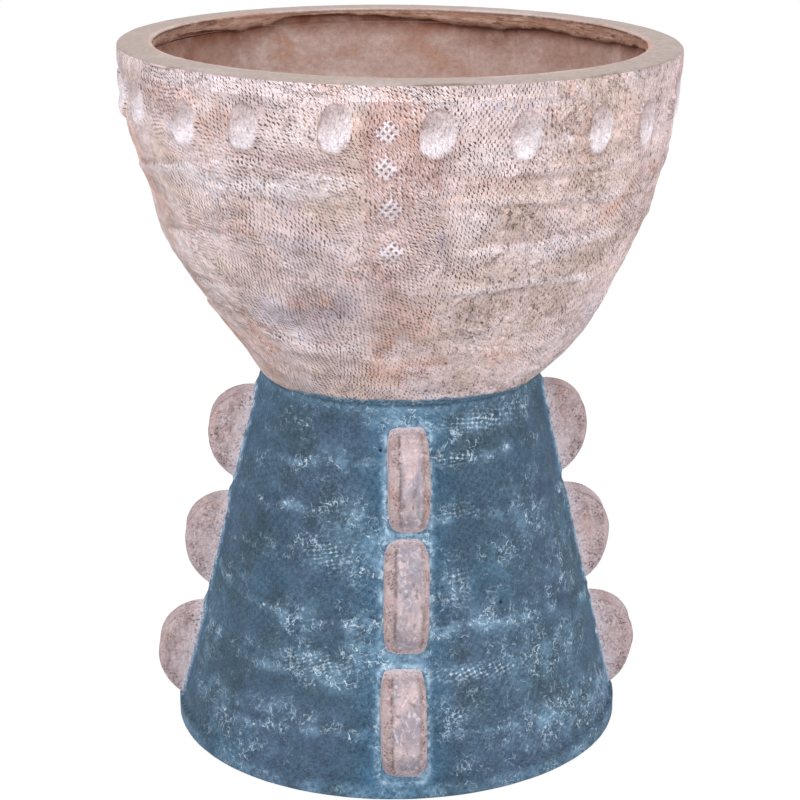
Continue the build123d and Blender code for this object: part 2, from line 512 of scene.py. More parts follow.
@dataclass(frozen=True)
class SmoothedClay:
    """The same clay smoothed with a wet thumb: the rim's top and the bowl's inside."""

    top: Colour = clay(168, 153, 147)
    lining: Colour = clay(196, 174, 167)
    blush: Colour = clay(186, 150, 134)
    pale: Colour = clay(212, 200, 197)
    umber: Colour = clay(122, 66, 38)
    tan: Colour = clay(164, 126, 108)
    dust: Colour = clay(190, 158, 143)
    tear: Colour = clay(84, 54, 44)

    def mix(self) -> Material:
        """Build the material."""
        dye = Dye("smoothed_clay")
        place = dye.place
        inside = dye.mark("inside")
        smear = dye.vector("ADD", dye.stretched(1.0, 1.0, 1.8), dye.noise_vector(place, 30.0, 30 * MM, 20.0))
        warm = dye.ramp(dye.noise(smear, 14, 4, 0.6, 21.0), 0.44, 0.62) * inside
        dye.colour = dye.coat(inside, self.top, self.lining)
        dye.layer(warm, self.blush)
        pale = dye.ramp(dye.noise(smear, 17, 5, 0.62, 22.0), 0.5, 0.66) * (inside * 0.55 + 0.2)
        dye.layer(pale, self.pale)
        edges = dye.veins((20, 4, 0.6, 23.0), 0.02, 0.0, smear)
        dye.layer(edges * inside * 0.12, self.tan)
        wash = dye.mark("wash") * dye.patches((40, 4, 0.65, 24.0), 0.3, 0.6, 0.5, 1.0)
        dye.layer(wash * 0.9, self.umber)
        torn = dye.mark("torn")
        clods = dye.stretched(0.6, 0.6, 3.4)
        rough = dye.noise(clods, 75, 5, 0.7, 25.0)
        ragged = dye.coat(dye.ramp(rough, 0.46, 0.62), self.tan, self.dust)
        ragged = dye.coat(dye.ramp(dye.noise(clods, 110, 4, 0.72, 26.0), 0.46, 0.36) * 0.7, ragged, self.tear)
        dye.layer(torn, ragged)
        # painted shadows under the rim's top edge and torn edge, and the dark line below the crown
        dye.layer(dye.mark("dirt") * dye.patches((90, 4, 0.7, 27.0), 0.34, 0.5), self.tear)
        specks = dye.patches((620, 3, 0.6, 28.0), 0.38, 0.28)
        dye.layer(specks * 0.5, self.umber)
        dye.tone(dye.patches((260, 5, 0.75, 29.0), 0.3, 0.7, 0.86, 1.15))
        height = rough * (torn * 1.6 + 0.1) + dye.noise(smear, 50, 4, 0.6, 30.0) * (inside * 0.9 + 0.25)
        return dye.finish(height, 1.6 * MM, 0.85, 0.25)


@dataclass(frozen=True)
class BlueSlip:
    """Slate-blue slip over the sacking's mark, with pale blue dry-brushed on its threads."""

    body: Colour = clay(67, 91, 110)
    moss: Colour = clay(56, 75, 86)
    azure: Colour = clay(72, 113, 144)
    plum: Colour = clay(72, 92, 116)
    tick: Colour = clay(200, 224, 242)
    halo: Colour = clay(134, 173, 203)
    gap: Colour = clay(44, 62, 78)
    pore: Colour = clay(20, 26, 32)
    weave: Sacking = Sacking(
        weft=3.9 * MM,
        warp=3.1 * MM,
        patch=60 * MM,
        swing=0.9,
        slant=0.1,
        unwind=0.0,
        wander=6 * MM,
        fray=2 * MM,
        tear=300.0,
        dragged=0.0,
        seed=3.0,
    )

    def ground(self, dye: Dye) -> None:
        """Lay down the slip's own colour, in cloudy patches."""
        dye.colour = self.body
        dye.layer(dye.patches((12, 4, 0.55, 41.0), 0.44, 0.62) * 0.8, self.plum)
        dye.layer(dye.patches((18, 4, 0.6, 42.0), 0.5, 0.64) * 0.65, self.moss)
        blue = dye.patches((16, 4, 0.6, 43.0), 0.5, 0.66) * 0.25 + dye.mark("near") * 0.75
        dye.layer(dye.clamp(blue), self.azure)

    def mix(self) -> Material:
        """Build the material."""
        dye = Dye("blue_slip")
        weave = self.weave.press(dye)
        place = dye.place
        self.ground(dye)
        cloud = dye.noise(place, 70, 5, 0.68, 44.0)
        crumbs = dye.noise(place, 700, 3, 0.72, 45.0)
        wear, halo = dye.mark("wear"), dye.mark("halo")
        dye.tone(dye.ramp(cloud, 0.34, 0.66, 0.84, 1.2))
        dye.tone(dye.ramp(crumbs, 0.3, 0.7, 0.68, 1.34))
        flat = dye.stretched(0.8, 0.8, 1.8)
        brushed = dye.patches((30, 5, 0.68, 46.0), 0.48, 0.66, 0.0, 0.5, flat) + wear * 1.3 + halo * 0.7
        broken = dye.patches((130, 5, 0.72, 51.0), 0.42, 0.56)
        dye.layer(halo * (broken * 0.6 + 0.25), self.halo)
        dye.layer(wear * dye.ramp(cloud, 0.4, 0.6, 0.1, 1.0) * 0.5, self.halo)
        dye.layer(brushed * dye.ramp(cloud, 0.48, 0.62) * 0.18, self.halo)
        curls = dye.vector("ADD", place, dye.noise_vector(place, 170.0, 7 * MM, 47.0))
        loops = dye.veins((135, 2, 0.6, 48.0), 0.03, 0.006, curls)
        loops = loops * dye.patches((95, 3, 0.6, 49.0), 0.45, 0.55)
        ticks = weave.cross * dye.patches((210, 2, 0.6, 50.0), 0.4, 0.52)
        flecks = dye.ramp(crumbs, 0.58, 0.68)
        rubbed = dye.clamp(loops + flecks * 0.45) * dye.clamp(brushed)
        rubbed = dye.most(rubbed, ticks * dye.clamp(dye.mark("cloth") + wear * 0.25))
        dye.layer(rubbed, self.tick)
        dye.layer(weave.dash * 0.25, self.gap)
        dye.layer(dye.mark("line") * broken, self.tick)
        # painted shade in the creases of the pedestal's coils
        dye.layer(dye.mark("dirt") * 0.85, self.gap)
        pores = dye.node("ShaderNodeTexVoronoi", {"Vector": place, "Scale": 62.0})
        picked, _, _ = dye.parts(Signal(dye, pores.outputs["Color"]))
        pit = dye.ramp(Signal(dye, pores.outputs["Distance"]), 0.085, 0.05) * dye.ramp(picked, 0.962, 0.966)
        dye.layer(pit, self.pore)
        height = rubbed * 0.5 + weave.net * 0.3 + crumbs * 0.35 + cloud * 1.2 - weave.dash * 0.5 - pit * 2.0
        return dye.finish(height, 0.9 * MM, 0.8, 0.25)


@dataclass(frozen=True)
class FinClay:
    """Pinkish clay of the fins, rubbed grey on the edge band and pale near the wall."""

    body: Colour = clay(201, 180, 182)
    warm: Colour = clay(198, 161, 152)
    band: Colour = clay(148, 144, 157)
    pore: Colour = clay(112, 90, 88)
    chalk: Colour = clay(232, 220, 227)
    line: Colour = clay(92, 78, 78)

    def mix(self) -> Material:
        """Build the material."""
        dye = Dye("fin_clay")
        place = dye.place
        band, face = dye.mark("band"), dye.mark("face")
        warm = dye.patches((42, 3, 0.55, 61.0), 0.48, 0.64) * 0.6 * (1.0 - band * 0.7)
        dye.colour = dye.coat(warm, self.body, self.warm)
        crumbs = dye.noise(place, 620, 4, 0.72, 62.0)
        cloud = dye.noise(place, 95, 4, 0.62, 63.0)
        slanting = dye.vector("ADD", place, dye.noise_vector(place, 90.0, 8 * MM, 69.0))
        smeared = dye.stretched(1.4, 1.4, 0.7, slanting)
        smudge = dye.patches((46, 5, 0.66, 70.0), 0.4, 0.56, place=smeared)
        smudge = smudge * dye.ramp(crumbs, 0.3, 0.6, 0.55, 1.0)
        dye.tone(dye.ramp(cloud, 0.3, 0.7, 0.8, 1.14))
        dye.layer(band * smudge, self.band)
        thin_band = band * dye.patches((60, 4, 0.6, 64.0), 0.5, 0.64) * 0.45
        pale = dye.clamp(dye.mark("root") * 0.9 + thin_band)
        dye.layer(pale * dye.ramp(crumbs, 0.36, 0.6, 0.3, 0.9), self.chalk)
        rubbed = dye.ramp(crumbs, 0.52, 0.64) * (0.4 + face * 0.2 - band * 0.25)
        dye.layer(rubbed, self.chalk)
        mottle = dye.ramp(crumbs, 0.5, 0.38) * dye.patches((75, 4, 0.62, 65.0), 0.4, 0.56, 0.15, 1.0)
        outer = dye.ramp(dye.mark("outer"), 0.3, 0.95) * (1.0 - band)
        rim = outer * (1.0 - dye.mark("root")) * dye.ramp(cloud, 0.4, 0.6) * 0.45
        dye.layer(dye.clamp(mottle * (0.3 + face * 0.2 + outer * 0.5) + rim), self.pore)
        broken = dye.patches((120, 4, 0.68, 66.0), 0.36, 0.54)
        dye.layer(dye.mark("line") * broken, self.line)
        scratch = dye.noise(dye.stretched(1.5, 1.5, 0.6, slanting), 230, 4, 0.66, 67.0)
        light = dye.ramp(scratch, 0.54, 0.64) * (band * 0.2 + face * 0.2 + 0.36)
        dark = dye.ramp(scratch, 0.44, 0.34) * (band * 0.35 + face * 0.2 + 0.2)
        dye.layer(light, self.chalk)
        dye.layer(dark, self.line)
        return dye.finish(crumbs * 0.5 + cloud * 1.2, 1.0 * MM, 0.88, 0.25)


class Finish(Enum):
    """The finishes by name, each with the record's slot that it belongs to."""

    BOWL = "bowl_clay"
    RIM = "rim_clay"
    SLIP = "blue_clay"
    FIN = "fin_clay"


Glazes = dict[Finish, Material]


def mix_glazes() -> Glazes:
    """Every finish of the planter, mixed once."""
    return {
        Finish.BOWL: BowlClay().mix(),
        Finish.RIM: SmoothedClay().mix(),
        Finish.SLIP: BlueSlip().mix(),
        Finish.FIN: FinClay().mix(),
    }


# ---------------------------------------------------------------- geometry trees


class Recipe(Wiring):
    """Wiring of a Geometry Nodes tree with named inputs."""

    def __init__(self, name: str, inputs: dict[str, str]) -> None:
        """Start a tree.

        Args:
            name: the tree's name.
            inputs: socket type by input name, after the geometry itself.
        """
        super().__init__(bpy.data.node_groups.new(name, "GeometryNodeTree"))
        self.identifiers: dict[str, str] = {}
        self.tree.interface.new_socket("Geometry", in_out="INPUT", socket_type="NodeSocketGeometry")
        self.tree.interface.new_socket("Geometry", in_out="OUTPUT", socket_type="NodeSocketGeometry")
        for label, kind in inputs.items():
            made = self.tree.interface.new_socket(label, in_out="INPUT", socket_type=f"NodeSocket{kind}")
            self.identifiers[label] = made.identifier
        self.entry = self.tree.nodes.new("NodeGroupInput")

    def given(self, label: str) -> Signal:
        """The signal of a named input."""
        return Signal(self, self.entry.outputs[label])

    def mark(self, name: str) -> Signal:
        """A number stored on the geometry's points."""
        return self.signal("GeometryNodeInputNamedAttribute", {"Name": name}, data_type="FLOAT")

    def store(self, geometry: Signal, name: Value, value: Value, kind: str = "FLOAT") -> Signal:
        """Store a field on the geometry's points under a name."""
        inputs = {"Geometry": geometry, "Name": name, "Value": value}
        return self.signal("GeometryNodeStoreNamedAttribute", inputs, data_type=kind, domain="POINT")

    def placed(self, geometry: Signal, spot: Signal) -> Signal:
        """Geometry with each of its points put at a spot."""
        return self.signal("GeometryNodeSetPosition", {"Geometry": geometry, "Position": spot})

    def pushed(self, geometry: Signal, amount: Signal) -> Signal:
        """Geometry with each of its points pushed out along its normal."""
        offset = self.scaled(self.signal("GeometryNodeInputNormal", {}), amount)
        return self.signal("GeometryNodeSetPosition", {"Geometry": geometry, "Offset": offset})

    def moved(self, geometry: Signal, **inputs: Signal) -> Signal:
        """Geometry moved and turned as a whole."""
        return self.signal("GeometryNodeTransform", {"Geometry": geometry, **inputs})

    def sampled(self, geometry: Signal, value: Signal, index: Signal, kind: str = "FLOAT") -> Signal:
        """What a field is at one numbered point of other geometry."""
        inputs = {"Geometry": geometry, "Value": value, "Index": index}
        return self.signal("GeometryNodeSampleIndex", inputs, data_type=kind, domain="POINT")

    def close(self, geometry: Signal) -> None:
        """End the tree: make the result real and give it its finish."""
        real = self.signal("GeometryNodeRealizeInstances", {"Geometry": geometry})
        dressed = self.signal("GeometryNodeSetMaterial", {"Geometry": real, "Material": self.given("Finish")})
        self.node("NodeGroupOutput", {"Geometry": dressed})


def turned_wall_recipe() -> Recipe:
    """A wall turned from its section, with the slow wobble and the grain of hand work.

    Returns:
        A tree whose geometry input is a closed section with the point attributes reach, height
        and give.
    """
    floats = dict.fromkeys(("Wobble", "Grain", "Seed"), "Float")
    recipe = Recipe("turned_wall", {"Columns": "Int", **floats, "Finish": "Material"})
    columns = recipe.given("Columns")
    ring = recipe.signal("GeometryNodeCurvePrimitiveCircle", {"Resolution": columns, "Radius": 1.0})
    index = recipe.signal("GeometryNodeInputIndex", {})
    ring = recipe.store(ring, "turn", index / columns * (2 * math.pi))
    section = recipe.signal("GeometryNodeMeshToCurve", {"Mesh": recipe.given("Geometry")})
    wall = recipe.signal("GeometryNodeCurveToMesh", {"Curve": ring, "Profile Curve": section})
    turn, reach = recipe.mark("turn"), recipe.mark("reach")
    x, y = reach * recipe.math("COSINE", turn), reach * recipe.math("SINE", turn)
    wall = recipe.placed(wall, recipe.combined(x, y, recipe.mark("height")))
    place = recipe.signal("GeometryNodeInputPosition", {})
    seed = recipe.given("Seed")
    slow = recipe.noise(place, 9.0, seed=seed) - 0.5
    lumps = recipe.noise(place, 68.0, 3.0, seed=seed) - 0.5
    calm = recipe.ramp(recipe.noise(place, 15.0, seed=seed), 0.42, 0.6, 1.0, 0.35)
    uneven = slow * recipe.given("Wobble") + lumps * calm * recipe.given("Grain")
    recipe.close(recipe.pushed(wall, uneven * recipe.mark("give")))
    return recipe


def pressed_mark_recipe() -> Recipe:
    """Marks pressed into a wall at the points of another mesh.

    Returns:
        A tree that reads the marks' half_width, half_length, lean and depth, and stores, under
        the name given, how deep in a mark each point is, and where in the mark it lies.
    """
    inputs = {"Marks": "Object", "Corners": "Float", "Name": "String", "Finish": "Material"}
    recipe = Recipe("pressed_marks", inputs)
    wall = recipe.given("Geometry")
    marks = recipe.signal("GeometryNodeObjectInfo", {"Object": recipe.given("Marks")}, "Geometry")
    place = recipe.signal("GeometryNodeInputPosition", {})
    lookup = {"Geometry": marks, "Sample Position": place}
    nearest = recipe.signal("GeometryNodeSampleNearest", lookup, domain="POINT")

    def read(name: str) -> Signal:
        """A stored number of the nearest mark."""
        return recipe.sampled(marks, recipe.mark(name), nearest)

    centre = recipe.sampled(marks, place, nearest, "FLOAT_VECTOR")
    centre_x, centre_y, _ = recipe.parts(centre)
    away = recipe.vector("SUBTRACT", place, centre)
    sideways = recipe.dot(away, recipe.vector("NORMALIZE", recipe.combined(-centre_y, centre_x, 0.0)))
    _, _, upward = recipe.parts(away)
    sine, cosine = recipe.math("SINE", read("lean")), recipe.math("COSINE", read("lean"))
    along = (sideways * sine + upward * cosine) / read("half_length")
    across = (sideways * cosine - upward * sine) / read("half_width")
    corners = recipe.given("Corners")
    ring = recipe.absolute(across) ** corners + recipe.absolute(along) ** corners
    softness = recipe.clamp(across * 0.5 + 0.5) * 0.55 + 0.35
    inside = recipe.clamp(1.0 - ring) ** softness
    lip = recipe.ramp(ring, 1.0, 1.25) * recipe.ramp(ring, 2.4, 1.3)
    outward = recipe.mark("outside")
    depth = read("depth") * recipe.ramp(outward, 0.4, 0.6)
    near_top = recipe.least(recipe.mark("give") * 2.5, 1.0)
    push = (lip * 0.16 - inside * (1.0 - across * 0.3)) * depth * near_top
    wall = recipe.pushed(wall, push)
    mark = recipe.combined(inside * outward, along, across)
    recipe.close(recipe.store(wall, recipe.given("Name"), mark, "FLOAT_VECTOR"))
    return recipe


def coin_fin_recipe() -> Recipe:
    """A thick coin with bevelled edges, cut off behind a chord, seated on a leaning wall.

    Returns:
        A tree whose geometry input is the coin's section, a row of points from the middle of
        one face round to the middle of the other, with share, inset and across stored on them.
    """
    shape = ("Radius", "Reach", "Root", "Sag", "Seat Reach", "Seat Height", "Tilt", "Azimuth", "Cant")
    shape += ("Half Length", "Taper", "Top Round", "Foot Round", "Wobble", "Seed")
    floats = dict.fromkeys(shape, "Float")
    recipe = Recipe("coin_fin", {"Columns": "Int", "Rows": "Int", **floats, "Finish": "Material"})
    rows, columns = recipe.given("Rows"), recipe.given("Columns")
    grid = recipe.signal(
        "GeometryNodeMeshGrid",
        {"Size X": 1.0, "Size Y": 1.0, "Vertices X": columns + 1.0, "Vertices Y": rows},
    )
    index = recipe.signal("GeometryNodeInputIndex", {})
    column = recipe.math("FLOOR", (index + 0.5) / rows)
    row = index - column * rows
    section = recipe.given("Geometry")

    def read(name: str) -> Signal:
        """A stored number of this row of the section."""
        return recipe.sampled(section, recipe.mark(name), row)

    turn = column / columns * (2 * math.pi)
    sine, cosine = recipe.math("SINE", turn), recipe.math("COSINE", turn)
    reach, radius, root = recipe.given("Reach"), recipe.given("Radius"), recipe.given("Root")
    hub = reach * 0.3
    offset = hub - (reach - radius)
    share = offset * cosine
    circle = recipe.math("SQRT", share * share + radius * radius - offset * offset) - share
    circle = circle * (1.0 - recipe.given("Sag") * sine * recipe.most(cosine, -0.2))
    back = recipe.most(-cosine, 0.02)
    chord = (hub + root) / back
    outline = recipe.math("SMOOTH_MIN", circle, chord, 3 * MM)
    half_length = recipe.given("Half Length")
    far = recipe.least(recipe.absolute(outline * sine) / half_length, 1.0)
    ray = recipe.most(outline - read("inset") * (1.0 - far**6.0 * 0.7), 0.0) * read("share")
    end = recipe.absolute(ray * sine) / half_length
    foot = recipe.given("Foot Round") * recipe.ramp(sine, 0.05, -0.05)
    rounding = foot + recipe.given("Top Round") * recipe.ramp(sine, -0.05, 0.05)
    tip = recipe.least(end, 1.0)
    width = 1.0 - recipe.given("Taper") * tip**4.0 - rounding * tip**11.0
    out_from_wall = hub + ray * cosine
    fin = recipe.placed(grid, recipe.combined(out_from_wall, read("across") * width, ray * sine))
    middle = recipe.ramp(end, 0.98, 0.78)
    for name in ("band", "line"):
        fin = recipe.store(fin, name, read(name) * middle)
    fin = recipe.store(fin, "face", read("face"))
    fin = recipe.store(fin, "outer", read("share"))
    fin = recipe.store(fin, "root", recipe.ramp(out_from_wall, 11 * MM, 1 * MM))
    fin = recipe.signal("GeometryNodeMergeByDistance", {"Geometry": fin, "Distance": 0.02 * MM})
    seat = recipe.combined(recipe.given("Seat Reach"), 0.0, recipe.given("Seat Height"))
    lean = recipe.combined(recipe.given("Cant"), -recipe.given("Tilt"), 0.0)
    fin = recipe.moved(fin, Translation=seat, Rotation=lean)
    fin = recipe.moved(fin, Rotation=recipe.combined(0.0, 0.0, recipe.given("Azimuth")))
    swell = recipe.signal(
        "ShaderNodeTexNoise",
        {
            "Vector": recipe.signal("GeometryNodeInputPosition", {}),
            "W": recipe.given("Seed"),
            "Scale": 55.0,
            "Detail": 3.0,
        },
        noise_dimensions="4D",
    )
    recipe.close(recipe.pushed(fin, (swell - 0.56) * recipe.given("Wobble")))
    return recipe


# ---------------------------------------------------------------- meshes


def put_in_scene(name: str, data: ID) -> Object:
    """A new object of that name and data, linked to the scene."""
    made = bpy.data.objects.new(name, data)
    bpy.context.scene.collection.objects.link(made)
    return made


def mesh_object(
    name: str, points: Array, edges: Sequence[tuple[int, int]], marks: dict[str, Array]
) -> Object:
    """A mesh object of points and edges, with numbers stored on its points.

    Args:
        name: the object's name.
        points: one row of x, y and z for each point.
        edges: pairs of point numbers.
        marks: numbers by attribute name, one for each point.

    Returns:
        The object, linked to the scene.
    """
    mesh = bpy.data.meshes.new(name)
    mesh.from_pydata([tuple(point) for point in points], list(edges), [])
    for label, values in marks.items():
        write_mark(mesh, label, values)
    return put_in_scene(name, mesh)


def write_mark(mesh: Mesh, name: str, values: Array) -> None:
    """Store one number on each of a mesh's points."""
    layer = mesh.attributes.get(name) or mesh.attributes.new(name, "FLOAT", "POINT")
    layer.data.foreach_set("value", np.asarray(values, np.float32))


def write_marks(mesh: Mesh, marks: dict[str, Array], where: Array | float = 1.0) -> None:
    """Store numbers kept from 0 to 1 on a mesh's points, but only where they apply."""
    for name, values in marks.items():
        write_mark(mesh, name, np.clip(values, 0, 1) * where)


def read_mark(mesh: Mesh, name: str) -> Array:
    """The numbers stored on a mesh's points."""
    values = np.zeros(len(mesh.vertices), np.float32)
    mesh.attributes[name].data.foreach_get("value", values)
    return values.astype(float)


def least_of_faces(mesh: Mesh, name: str) -> Array:
    """The least number stored on each face's four corners."""
    corners = np.zeros(len(mesh.loops), np.int32)
    mesh.loops.foreach_get("vertex_index", corners)
    return read_mark(mesh, name)[corners].reshape(-1, 4).min(axis=1)


def add_finish(mesh: Mesh, finish: Material, faces: Array) -> None:
    """Give some of a mesh's faces another finish than the first."""
    mesh.materials.append(finish)
    mesh.polygons.foreach_set("material_index", faces.astype(np.int32))


def read_points(mesh: Mesh) -> Array:
    """A mesh's points, one row of x, y and z each."""
    flat = np.zeros(len(mesh.vertices) * 3, np.float32)
    mesh.vertices.foreach_get("co", flat)
    return flat.reshape(-1, 3).astype(float)


def write_points(mesh: Mesh, points: Array) -> None:
    """Move a mesh's points."""
    mesh.vertices.foreach_set("co", points.astype(np.float32).ravel())
    mesh.update()


def grow(source: Object, name: str, steps: Steps) -> Object:
    """Run Geometry Nodes on an object and keep the result as a plain mesh.

    Args:
        source: the object that holds the input geometry, which is removed.
        name: the finished piece's name.
        steps: trees in order, each with its inputs by name.

    Returns:
        The finished object, with no modifier.
    """
    for recipe, inputs in steps:
        modifier = source.modifiers.new(recipe.tree.name, "NODES")
        modifier.node_group = recipe.tree
        for label, value in inputs.items():
            modifier[recipe.identifiers[label]] = value
    graph = bpy.context.evaluated_depsgraph_get()
    shaped = source.evaluated_get(graph)
    mesh = bpy.data.meshes.new_from_object(shaped, preserve_all_data_layers=True, depsgraph=graph)
    source.modifiers.clear()
    bpy.data.objects.remove(source)
    mesh.name = name
    face_outwards(mesh)
    return put_in_scene(name, mesh)


def face_outwards(mesh: Mesh) -> None:
    """Turn a closed mesh right side out, by the sign of its volume, and shade it smooth."""
    points = read_points(mesh)
    mesh.calc_loop_triangles()
    corners = np.zeros(len(mesh.loop_triangles) * 3, np.int32)
    mesh.loop_triangles.foreach_get("vertices", corners)
    a, b, c = (points[corners.reshape(-1, 3)[:, corner]] for corner in range(3))
    if np.einsum("ij,ij->i", a, np.cross(b, c)).sum() < 0:
        mesh.flip_normals()
    mesh.polygons.foreach_set("use_smooth", np.ones(len(mesh.polygons), bool))


def commit(piece: Object, slot: str, *nodes: str) -> None:
    """Give a finished piece to the frame: what it replaces and what it rides on."""
    piece.data.set_sharp_from_angle(angle=math.radians(55))
    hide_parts(*nodes)
    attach(piece, BODY)
    count = sum(len(face.vertices) - 2 for face in piece.data.polygons)
    log.info("%s stands for %s: %d triangles", piece.name, ", ".join(nodes), count)


# ---------------------------------------------------------------- curves and fields


def smooth(value: Array, low: float, high: float) -> Array:
    """Smooth step from 0 at low to 1 at high; low may be the larger."""
    share = np.clip((value - low) / (high - low), 0, 1)
    return share * share * (3 - 2 * share)


def bump(value: Array, width: float) -> Array:
    """Bell curve of height 1 round zero."""
    return np.exp(-((value / width) ** 2))


def azimuths(points: Array) -> Array:
    """Degrees from the front column towards +X, one for each point."""
    return np.degrees(np.arctan2(points[:, 0], -points[:, 1]))


def apart(azimuth: Array, middle: float) -> Array:
    """Signed degrees from one azimuth to others, the short way round."""
    return (azimuth - middle + 180) % 360 - 180


def ripple(azimuth: Array, seed: int, waves: int = 24) -> Array:
    """Seeded random swell round the pot, closed at its ends, mostly from -1 to 1.

    Args:
        azimuth: degrees, one for each point.
        seed: picks the swell.
        waves: how many waves the finest part has round the pot.

    Returns:
        One number for each point.
    """
    random = np.random.default_rng(seed)
    total = np.zeros_like(azimuth)
    for wave in range(2, waves):
        strength = random.normal() / math.sqrt(wave)
        total += strength * np.cos(np.radians(wave * azimuth) + random.uniform(0, 2 * math.pi))
    return total / 1.6


@dataclass(frozen=True)
class Arc:
    """Circular arc in the plane of reach and height, bulging outwards by its sagitta."""

    start: tuple[float, float]
    end: tuple[float, float]
    sagitta: float

    @property
    def chord(self) -> Array:
        """From the start to the end."""
        return np.array(self.end) - np.array(self.start)

    @property
    def radius(self) -> float:
        """The circle's radius."""
        half = np.linalg.norm(self.chord) / 2
        return float((half**2 + self.sagitta**2) / (2 * abs(self.sagitta)))

    @property
    def centre(self) -> Array:
        """The circle's centre."""
        out = np.array([self.chord[1], -self.chord[0]]) / np.linalg.norm(self.chord)
        middle = (np.array(self.start) + np.array(self.end)) / 2
        return middle - out * (self.radius - abs(self.sagitta)) * np.sign(self.sagitta)

    @property
    def length(self) -> float:
        """Length along the arc."""
        return 2 * self.radius * math.asin(np.linalg.norm(self.chord) / 2 / self.radius)

    def spread(self, count: int) -> Array:
        """Evenly spaced points from the start to the end."""
        first, last = (np.array(point) - self.centre for point in (self.start, self.end))
        start_angle, end_angle = (math.atan2(arm[1], arm[0]) for arm in (first, last))
        angle = np.linspace(start_angle, end_angle, count)
        if self.sagitta < 0:
            turn = (end_angle - start_angle + math.pi) % (2 * math.pi) - math.pi
            angle = start_angle + np.linspace(0, turn, count)
        return self.centre + self.radius * np.stack([np.cos(angle), np.sin(angle)], 1)


def line(start: tuple[float, float], end: tuple[float, float], count: int) -> Array:
    """Evenly spaced points on a straight line."""
    return np.linspace(start, end, count)


def quarter(centre: tuple[float, float], radius: float, first: float, last: float, count: int) -> Array:
    """Points on a round from one angle to another, in degrees."""
    angle = np.radians(np.linspace(first, last, count))
    return np.array(centre) + radius * np.stack([np.cos(angle), np.sin(angle)], 1)


@dataclass
class Section:
    """Closed section of a turned wall, drawn one run after another."""

    points: list[Array] = field(default_factory=list)
    marks: dict[str, list[Array]] = field(default_factory=dict)

    def draw(self, run: Array, **marks: float | tuple[float, float]) -> None:
        """Add a run, less its last point, which the next run starts with.

        Args:
            run: points of reach and height.
            marks: by attribute name, a number for the whole run, or the numbers at its two ends.
        """
        self.points.append(run[:-1])
        for name in ("outside", "inside", "give"):
            first, last = np.broadcast_to(marks.get(name, 0.0), 2)
            self.marks.setdefault(name, []).append(np.linspace(first, last, len(run))[:-1])

    def outline(self, name: str, rise_start: float) -> Object:
        """The section as a mesh object whose points carry reach, height, rise and marks.

        Args:
            name: the object's name.
            rise_start: the rise at the section's first point.

        Returns:
            The object that a turned wall is made from.
        """
        points = np.concatenate(self.points)
        steps = np.linalg.norm(np.diff(points, axis=0), axis=1)
        marks = {label: np.concatenate(values) for label, values in self.marks.items()}
        marks["rise"] = rise_start + np.concatenate([[0.0], np.cumsum(steps)])
        marks["reach"], marks["height"] = points[:, 0], points[:, 1]
        count = len(points)
        spots = np.stack([points[:, 0], np.zeros(count), points[:, 1]], 1)
        return mesh_object(name, spots, [(i, (i + 1) % count) for i in range(count)], marks)


# ---------------------------------------------------------------- hand work


class Lap(Enum):
    """Which side of a ledge's line the thicker clay lies on."""

    BELOW = -1
    ABOVE = 1


@dataclass(frozen=True)
class Ledge:
    """Where one coil or fold of clay laps another.

    Args (fields):
        path: azimuth in degrees and height in metres, from left to right.
        relief: how far the thicker clay stands out.
        lap: where that clay lies.
        fade: over what height it thins out.
        pale: how much chalk its edge takes.
    """

    path: tuple[tuple[float, float], ...]
    relief: float = 1.6 * MM
    lap: Lap = Lap.BELOW
    fade: float = 16 * MM
    pale: float = 0.5

    def lay(self, azimuth: Array, height: Array) -> tuple[Array, Array, Array]:
        """Relief, chalk and painted crease shade of the ledge at each point.

        Args:
            azimuth: degrees, one for each point.
            height: metres, one for each point.

        Returns:
            How far the clay stands out, how pale it is, and how much painted shade lies in its crease.
        """
        marks = np.array(self.path)
        middle = (marks[0, 0] + marks[-1, 0]) / 2
        here = middle + apart(azimuth, middle)
        wave = 1.2 * MM * ripple(azimuth, int(1000 * marks[0, 1]), 60)
        above = height - np.interp(here, marks[:, 0], marks[:, 1]) - wave
        first, last = marks[0, 0], marks[-1, 0]
        ends = smooth(here, first - 5, first + 5) * smooth(here, last + 5, last - 5)
        side = above * self.lap.value
        step = smooth(side, -1.0 * MM, 2.0 * MM) * np.exp(-np.maximum(side, 0) / self.fade)
        pale = bump(side - 3 * MM, 3.2 * MM)
        # painted shade in the crease on the thin side of the step
        dirt = bump(side + 0.8 * MM, 1.6 * MM)
        return ends * step * self.relief, ends * pale * self.pale, ends * dirt


@dataclass(frozen=True)
class Dab:
    """A soft-edged patch of paint on a wall: azimuth and half width in degrees, the rest metres."""

    azimuth: float
    height: float
    half_width: float
    half_height: float
    strength: float = 1.0

    def cover(self, azimuth: Array, height: Array) -> Array:
        """How thick the paint is at each point, from 0 to its strength."""
        across = apart(azimuth, self.azimuth) / self.half_width
        along = (height - self.height) / self.half_height
        return self.strength * np.exp(-(across**2 + along**2) * 1.4)


def dab_set(*rows: Row) -> tuple[Dab, ...]:
    """Dabs from rows of their azimuth, height, half width, half height and strength."""
    return tuple(Dab(*row) for row in rows)


def painted(dabs: Sequence[Dab], azimuth: Array, height: Array, start: Array | float = 0) -> Array:
    """Paint of several dabs at each point, over what lies there at the start."""
    return sum((dab.cover(azimuth, height) for dab in dabs), start)


